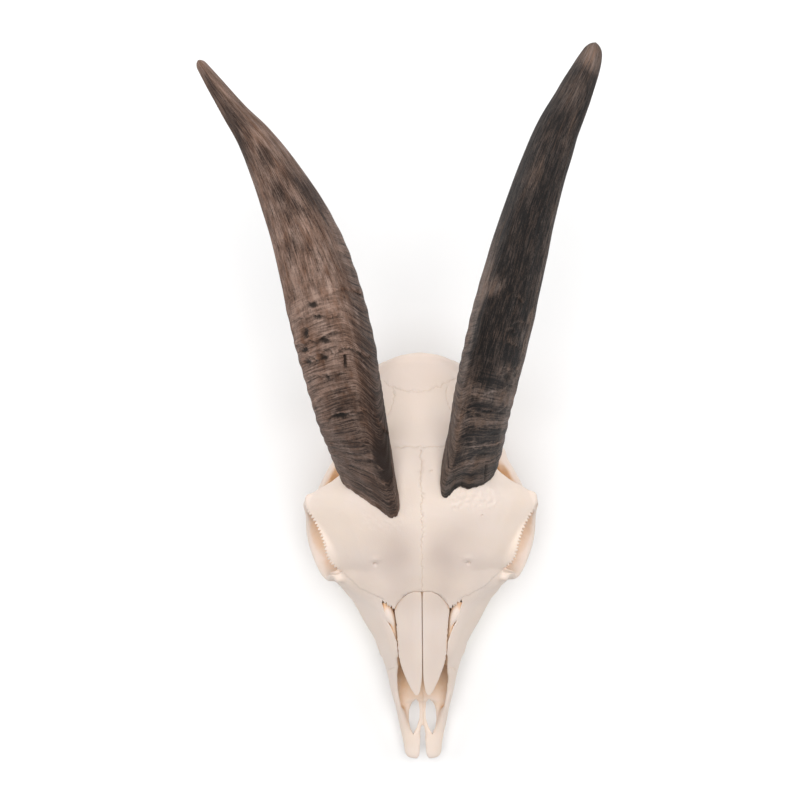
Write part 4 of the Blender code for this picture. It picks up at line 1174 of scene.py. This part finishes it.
class GOATSKULL_OT_cheek_teeth(bpy.types.Operator):
    """Build the twelve worn cheek teeth over their solids"""

    bl_idname = "goat_skull.cheek_teeth"
    bl_label = "Cheek teeth"

    def execute(self, context):
        teeth = context.scene.goat_skull.teeth
        mat = worn_tooth(teeth)
        columns = 64
        outline = round_through(TOOTH_OUTLINE, columns) * (1 + 0.018 * np.cos(np.arange(columns) * 0.9))[:, None]
        # Each ring has its outline, its height and its taper. The rings without a height make the chewing face
        rings = [(outline, z, 1.0 - 0.10 * z / SOCKET_TOP) for z in np.linspace(SOCKET_TOP - JOINT_GAP, 0.5, 22)]
        rings.append((outline * 0.985, 0.12, 1.0))
        rings += [(outline * share, None, 1.0) for share in np.linspace(0.965, 0.03, 26)]
        for name, (middle, front, length, width, lobes) in TEETH.items():
            for which, side in SIDES.items():
                points = []
                places = []
                for shape, z, taper in rings:
                    x = middle + shape[:, 0] * width * taper
                    s = front + length / 2 + shape[:, 1] * (length - 0.3)
                    worn = np.zeros(columns)
                    if z is None:
                        # The enamel round the edge stands highest
                        edge = np.exp(-((0.965 - np.max(np.abs(shape), axis=1) / 0.5) / 0.10) ** 2)
                        worn = tooth_face(*shape.T, lobes) * (1 - 0.9 * np.clip(edge, 0, 1))
                        z = worn * teeth.wear / MM
                    places.append(worn)
                    points.append(np.column_stack([side * x, s, np.broadcast_to(z, columns)]))
                tooth = piece(f"{name}_crown_{which}", [tube(points)])
                keep(tooth.data, "worn", np.concatenate(places))
                smooth_faces(tooth.data)
                tooth.data.materials.append(mat)
                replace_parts(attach(tooth, "root"), f"{name}_{which}")
        return {"FINISHED"}


# Horns

def horn_frame(which, along):
    """Points along a horn, its half sizes there, the directions across it and to its keel, and its length."""
    side = SIDES[which]
    line = through(HORN_PATHS[which], 400)
    centre = line[:, :3] * (side, 1, 1)
    length = np.concatenate([[0], np.cumsum(np.linalg.norm(np.diff(centre, axis=0), axis=1))])
    place = np.clip(along, 0, 1) * length[-1]

    def there(values):
        return np.column_stack([np.interp(place, length, column) for column in values.T])

    run = unit(there(unit(np.gradient(centre, axis=0))))
    across = unit(np.cross(run, (0, 0, 1.0)))
    keelward = np.cross(across, run)
    twist = np.radians(side * (KEEL_TURN[0] + (KEEL_TURN[1] - KEEL_TURN[0]) * place / length[-1]))[:, None]
    right = np.cos(twist) * across + np.sin(twist) * keelward
    top = -np.sin(twist) * across + np.cos(twist) * keelward
    return there(centre), there(line[:, 3:]), right, top, length[-1]


def horn_points(which, columns, along, swell):
    """A point for each column of the outline at its own place along the horn, pushed out by swell."""
    section = round_through(HORN_OUTLINE + [(-x, y) for x, y in HORN_OUTLINE[-2:0:-1]], columns)
    centre, half, right, top, _ = horn_frame(which, along)
    ring = section[np.arange(len(along)) % columns]
    size = half + swell[:, None]
    return centre + (size[:, 0] * ring[:, 0])[:, None] * right + (size[:, 1] * ring[:, 1])[:, None] * top


def rim_swell(which, turn, up):
    """How far the horn swells outwards near its rim, by the angle from its keel and the distance up."""
    outwards = np.degrees((turn + math.pi) % (2 * math.pi) - math.pi) * SIDES[which]
    flare = np.interp(outwards, *zip(*HORN_RIM[which]))
    return flare * smooth_step(46, 22, up)


def from_line(places, line):
    """How far each place in plan lies from a line through others, and how far behind the line it is."""
    nearest = np.full(len(places), np.inf)
    behind = np.zeros(len(places))
    for a, b in zip(line, line[1:]):
        step = b - a
        share = np.clip(((places - a) @ step) / (step @ step), 0, 1)
        away = places - a - share[:, None] * step
        length = np.hypot(*away.T)
        closer = length < nearest
        nearest[closer] = length[closer]
        behind[closer] = away[closer, 1]
    return nearest, behind


def horn_start(which, columns, tree):
    """How far up the horn each column leaves the brow, as a share of its length, sought from above."""
    steps = np.linspace(0.0, 0.3, 150)
    along = np.repeat(steps, columns)
    turn = np.tile(np.arange(columns) / columns * 2 * math.pi, len(steps))
    swell = rim_swell(which, turn, along * horn_frame(which, np.zeros(1))[4])
    points = horn_points(which, columns, along, swell).reshape(len(steps), columns, 3)
    starts = np.zeros(columns)
    for j in range(columns):
        for k in reversed(range(len(steps))):
            x, s, z = points[k, j]
            hit, _ = on_bone(tree, x, s)
            if hit is not None and z < hit[2] + JOINT_GAP:
                starts[j] = steps[min(k + 1, len(steps) - 1)]
                break
    return starts


def growth(which, points, from_rim):
    """Where each point is seen from above: -1 to 1 from the outer to the inner edge, and its growth line.

    A growth line is named by the distance s at which it crosses the middle of the horn.
    """
    side = SIDES[which]
    line = through(HORN_PATHS[which], 300)[:, :2] * (side, 1)
    run = unit(np.gradient(line, axis=0))
    inwards = np.column_stack([-run[:, 1], run[:, 0]]) * side
    nearest = np.empty(len(points), int)
    # A few thousand at a time, to spare memory
    for start in range(0, len(points), 4000):
        rows = slice(start, start + 4000)
        away = points[rows, None, :2] - line[None]
        nearest[rows] = np.argmin((away**2).sum(axis=2), axis=1)
    offset = ((points[:, :2] - line[nearest]) * inwards[nearest]).sum(axis=1)

    def edge(extreme, empty):
        """The horn's edge in plan along its line, evened out over 15 places."""
        reach = np.full(len(line), empty)
        extreme.at(reach, nearest, offset)
        every = np.arange(len(line))
        seen = np.isfinite(reach)
        filled = np.pad(np.interp(every, every[seen], reach[seen]), 7, mode="edge")
        return np.convolve(filled, np.ones(15) / 15, "valid")[nearest]

    low = edge(np.minimum, np.inf)
    high = edge(np.maximum, -np.inf)
    across = 2 * (offset - low) / (high - low) - 1
    middle = line[nearest, 1] + ((points[:, :2] - line[nearest]) * run[nearest]).sum(axis=1)
    drop, begins, arch = GROWTH_BOW[which]
    inner = smooth_step(begins, 1.0, across)
    bowed = middle + 2 * drop * inner * smooth_step(330, 170, middle) - arch * (1 - across**2)
    near_rim = np.min(middle[from_rim <= 0]) + 6 + 0.66 * from_rim
    share = smooth_step(14, 70, from_rim)
    return across, near_rim + (bowed - near_rim) * share


class GOATSKULL_OT_horns(bpy.types.Operator):
    """Build the two weathered horns over their solids"""

    bl_idname = "goat_skull.horns"
    bl_label = "Horns"

    def execute(self, context):
        tree = tree_of(bpy.data.objects.get("cranium_bone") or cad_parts["cranium"])
        for which in SIDES:
            build_horn(which, context.scene.goat_skull.horns, tree)
        return {"FINISHED"}


def torn(which, points, outward):
    """How far torn edges and pits lift each point, how dark the painted shade in them makes it, and how pale behind a
    torn edge.

    They lie on the face seen from above.
    """
    above = np.flatnonzero(outward[:, 2] > 0.05)
    places = points[above, :2]
    jag = 0.9 * rough(points[above], 1.3, 2)
    lift, pit_shade, fray = np.zeros((3, len(points)))
    for height, dark, line in HORN_TEARS[which]:
        reach, behind = from_line(places, through(line, 5 * len(line)))
        behind = behind + jag * 0.8
        raised = np.exp(-reach / 3.0) * smooth_step(-0.2, 0.5, behind)
        hollow = np.exp(-(reach / 1.1) ** 2) * smooth_step(0.4, -0.2, behind)
        lift[above] += height * (raised - 0.8 * hollow)
        # Painted shade in the hollow under the torn edge
        pit_shade[above] = np.maximum(pit_shade[above], dark * hollow * smooth_step(-0.55, 0.15, jag))
        fray[above] += 0.9 * height * np.exp(-((behind - 0.5) / 0.5) ** 2) * np.exp(-(reach / 1.4) ** 2)
    for x, s, wide, tall, deep in HORN_PITS[which]:
        hole = smooth_step(1.3, 0.5, np.hypot((places[:, 0] - x) / wide, (places[:, 1] - s) / tall) + 0.6 * jag)
        lift[above] -= hole * deep
        # Painted shade in the pit
        pit_shade[above] = np.maximum(pit_shade[above], 0.9 * hole)
    return lift, pit_shade, fray


def horn_tip(points):
    """Rings that close a horn's tip beyond its last ring."""
    end = points[-1].mean(0)
    run = unit((points[-1] - points[-4]).mean(0))
    caps = []
    for share in np.linspace(0.15, 1, 8)[:-1]:
        inset = points[-1] * math.cos(share * math.pi / 2) + end * (1 - math.cos(share * math.pi / 2))
        caps.append(inset + run * math.sin(share * math.pi / 2) * 0.15)
    return caps


def horn_root(points, tree):
    """Rings that close a horn's root from its middle out to its rim, a joint gap above the brow."""
    middle = points[0].mean(0)
    roots = []
    for share in np.linspace(1.0, 0.04, 16):
        ring = middle + (points[0] - middle) * share
        for point in ring:
            hit, _ = on_bone(tree, point[0], point[1])
            # Where the brow falls away into the hollow behind the eye, the root doesn't follow it down
            if hit is not None:
                point[2] = max(hit[2] + JOINT_GAP, point[2] - 0.5 - 12 * (1 - share))
        roots.append(ring)
    return roots[::-1]


def build_horn(which, horns, tree):
    """One horn: its rings from the rim on the brow to the tip, with what its material needs kept on them."""
    fibres_from, paleness, frayed = HORN_SURFACE[which]
    columns = horns.columns // 1
    rows = horns.rows // 1
    turn = np.arange(columns) / columns * 2 * math.pi
    # The rim is ragged and lumpy
    around = np.column_stack([4 * np.cos(turn), 4 * np.sin(turn), np.full(columns, 2.0 * SIDES[which])])
    starts = horn_start(which, columns, tree) + 0.003 + 0.004 * rough(around, 1.0, 3)
    # Rows lie closer together near the rim and near the tip
    share = 1 - (1 - np.linspace(0, 1, rows) ** 1.05) ** 1.2
    length = horn_frame(which, np.zeros(1))[4]
    along = starts[None, :] + (1.0 - starts[None, :]) * share[:, None]
    up = along * length
    from_rim = up - up[0]
    angle = np.broadcast_to(turn, along.shape)
    # Each point as if the horn were a straight bar, 15 mm from its middle to its face
    straight = np.stack([15 * np.sin(angle), up, 15 * np.cos(angle)], axis=-1)
    flat = straight.reshape(-1, 3)
    swell = rim_swell(which, angle, up)
    points = horn_points(which, columns, along.ravel(), swell.ravel())
    across, grown = growth(which, points, from_rim.ravel())
    across = across.reshape(along.shape)
    grown = grown.reshape(along.shape)

    def wavy(size, run, octaves=1):
        return rough(flat / (size, run, size), 1.0, octaves).reshape(along.shape)

    # Low swellings 8 mm apart round the horn and fine folds near the root, fibres above. The inner edge keeps its
    # growth lines 40 mm further
    ringed_side = 40 * smooth_step(0.55, 0.9, across)
    fibrous = smooth_step(*fibres_from, grown - ringed_side + 5 * wavy(9, 14))
    swell += 0.18 * np.sin(grown / 8.0 * 2 * math.pi + 2 * wavy(20, 30)) * (1 - fibrous)
    swell += 0.30 * wavy(14, 14) + 0.20 * wavy(2.2, 45, 2) * fibrous
    swell += 0.22 * wavy(2.4, 12, 2) * smooth_step(26, 4, from_rim)
    swell -= 1.0 * np.exp(-from_rim / 0.8)
    swell = swell * smooth_step(length, length - 28, up) - 0.20
    # The tip is a rounded end
    tip_size = HORN_PATHS[which][-1][3]
    rounding = np.clip((up - length + tip_size + 0.8) / (tip_size + 0.8), 0, 0.99)
    swell -= (tip_size - 0.25) * (1 - np.sqrt(1 - rounding**2))
    points = horn_points(which, columns, along.ravel(), swell.ravel())
    outward = unit(points - np.repeat(horn_frame(which, along[:, 0])[0], columns, axis=0))
    lift, pit_shade, fray = torn(which, points, outward)
    points = (points + outward * lift[:, None]).reshape(rows, columns, 3)
    pit_shade = pit_shade.reshape(along.shape)
    # How pale the horn is, in patches with wavering edges
    warped = grown + 2.0 * wavy(7, 7, 2) + 1.6 * wavy(1.8, 9, 2)
    sideways = across + 0.14 * wavy(5, 14, 3)
    tone = np.full(along.shape, paleness) + fray.reshape(along.shape)
    for u, s, wide, tall, change in HORN_PATCHES[which]:
        tone += change * np.exp(-np.abs((sideways - u) / wide) ** 3 - np.abs((warped - s) / tall) ** 3)
    roots = horn_root(points, tree)
    caps = horn_tip(points)
    horn = piece(f"horn_sheath_{which}", [tube([*roots, *points, *caps])])
    mesh = horn.data
    straight[..., 1] = grown
    for name, values in (("straight", straight), ("marks", np.stack([pit_shade, tone, fibrous], axis=-1))):
        # The root and the tip go on as the rings next to them
        repeats = [1 + len(roots), *[1] * (rows - 2), 1 + len(caps)]
        keep(mesh, name, np.repeat(values, repeats, axis=0), vector=True)
    smooth_faces(mesh)
    colours = [getattr(horns, f"{which}_{shade}") for shade in ("dark", "light", "brown")]
    mesh.materials.append(weathered_horn(f"weathered_horn_{which}", *colours, frayed))
    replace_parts(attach(horn, "root"), f"horn_{which}")


# The stage

# What the softboxes are aimed at, in metres, the place in plan that the camera looks down on, and its turn in degrees
SKULL_MIDDLE = (0.0, 0.0, 0.1)
CAMERA_PLACE = (-10.36, 193.72, 0.0)
CAMERA_TURN = -0.63


def softbox(name, place, size, power):
    """A rectangular light of a size in metres, which faces the skull."""
    data = bpy.data.lights.new(name, "AREA")
    data.shape = "RECTANGLE"
    data.size, data.size_y = size
    data.energy = power
    lamp = bpy.data.objects.new(name, data)
    lamp.location = place
    lamp.rotation_euler = (Vector(SKULL_MIDDLE) - Vector(place)).to_track_quat("-Z", "Y").to_euler()
    bpy.context.scene.collection.objects.link(lamp)


class GOATSKULL_OT_stage(bpy.types.Operator):
    """Add the pale floor, the soft lights and the camera"""

    bl_idname = "goat_skull.stage"
    bl_label = "Stage"

    def execute(self, context):
        stage = context.scene.goat_skull.stage
        board = bmesh.new()
        bmesh.ops.create_grid(board, x_segments=8, y_segments=8, size=stage.floor_size / 2)
        floor = piece("floor", [board])
        floor.data.materials.append(painted_floor(stage.floor))
        world = bpy.data.worlds.new("white_room")
        world.use_nodes = True
        background = world.node_tree.nodes["Background"]
        background.inputs["Color"].default_value = (1.0, 1.0, 1.0, 1.0)
        background.inputs["Strength"].default_value = stage.sky
        context.scene.world = world
        softbox("overhead_softbox", (0.0, 0.0, 2.2), (1.4, 1.4), stage.key)
        softbox("rear_softbox", (0.0, 1.6, 0.9), (1.6, 0.8), stage.rear)
        softbox("left_softbox", (1.3, 0.3, 1.2), (0.8, 1.2), stage.fill)
        softbox("right_softbox", (-1.3, 0.3, 1.2), (0.8, 1.2), stage.fill)
        data = bpy.data.cameras.new("camera")
        data.lens = stage.lens
        data.sensor_width = 36.0
        data.clip_end = 20.0
        camera = bpy.data.objects.new("camera", data)
        camera.location = (*placed(CAMERA_PLACE)[:2], stage.camera_height)
        camera.rotation_euler = (0, 0, math.radians(CAMERA_TURN))
        context.scene.collection.objects.link(camera)
        context.scene.camera = camera
        context.scene.view_settings.view_transform = "Standard"
        return {"FINISHED"}


class GOATSKULL_PT_panel(bpy.types.Panel):
    """Lists what can be built and changed"""

    bl_idname = "GOATSKULL_PT_panel"
    bl_label = "Goat Skull"
    bl_space_type = "VIEW_3D"
    bl_region_type = "UI"
    bl_category = "Goat Skull"

    def draw(self, context):
        layout = self.layout
        skull = context.scene.goat_skull
        for operator, settings in (
            (GOATSKULL_OT_cranium, skull.bone), (GOATSKULL_OT_nasal_bones, None),
            (GOATSKULL_OT_cheek_teeth, skull.teeth), (GOATSKULL_OT_horns, skull.horns),
            (GOATSKULL_OT_stage, skull.stage),
        ):
            layout.operator(operator.bl_idname)
            if settings is None:
                continue
            box = layout.box()
            for name in settings.bl_rna.properties.keys():
                if name not in ("rna_type", "name"):
                    box.prop(settings, name)


CLASSES = (
    GoatSkullBone, GoatSkullTeeth, GoatSkullHorns, GoatSkullStage, GoatSkull, GOATSKULL_OT_cranium,
    GOATSKULL_OT_nasal_bones, GOATSKULL_OT_cheek_teeth, GOATSKULL_OT_horns, GOATSKULL_OT_stage, GOATSKULL_PT_panel,
)


def register():
    for cls in CLASSES:
        bpy.utils.register_class(cls)
    bpy.types.Scene.goat_skull = bpy.props.PointerProperty(type=GoatSkull)


def unregister():
    del bpy.types.Scene.goat_skull
    for cls in reversed(CLASSES):
        bpy.utils.unregister_class(cls)


def main():
    register()
    bpy.ops.goat_skull.cranium()
    bpy.ops.goat_skull.nasal_bones()
    bpy.ops.goat_skull.cheek_teeth()
    bpy.ops.goat_skull.horns()
    bpy.ops.goat_skull.stage()


if __name__ == "__main__":
    main()
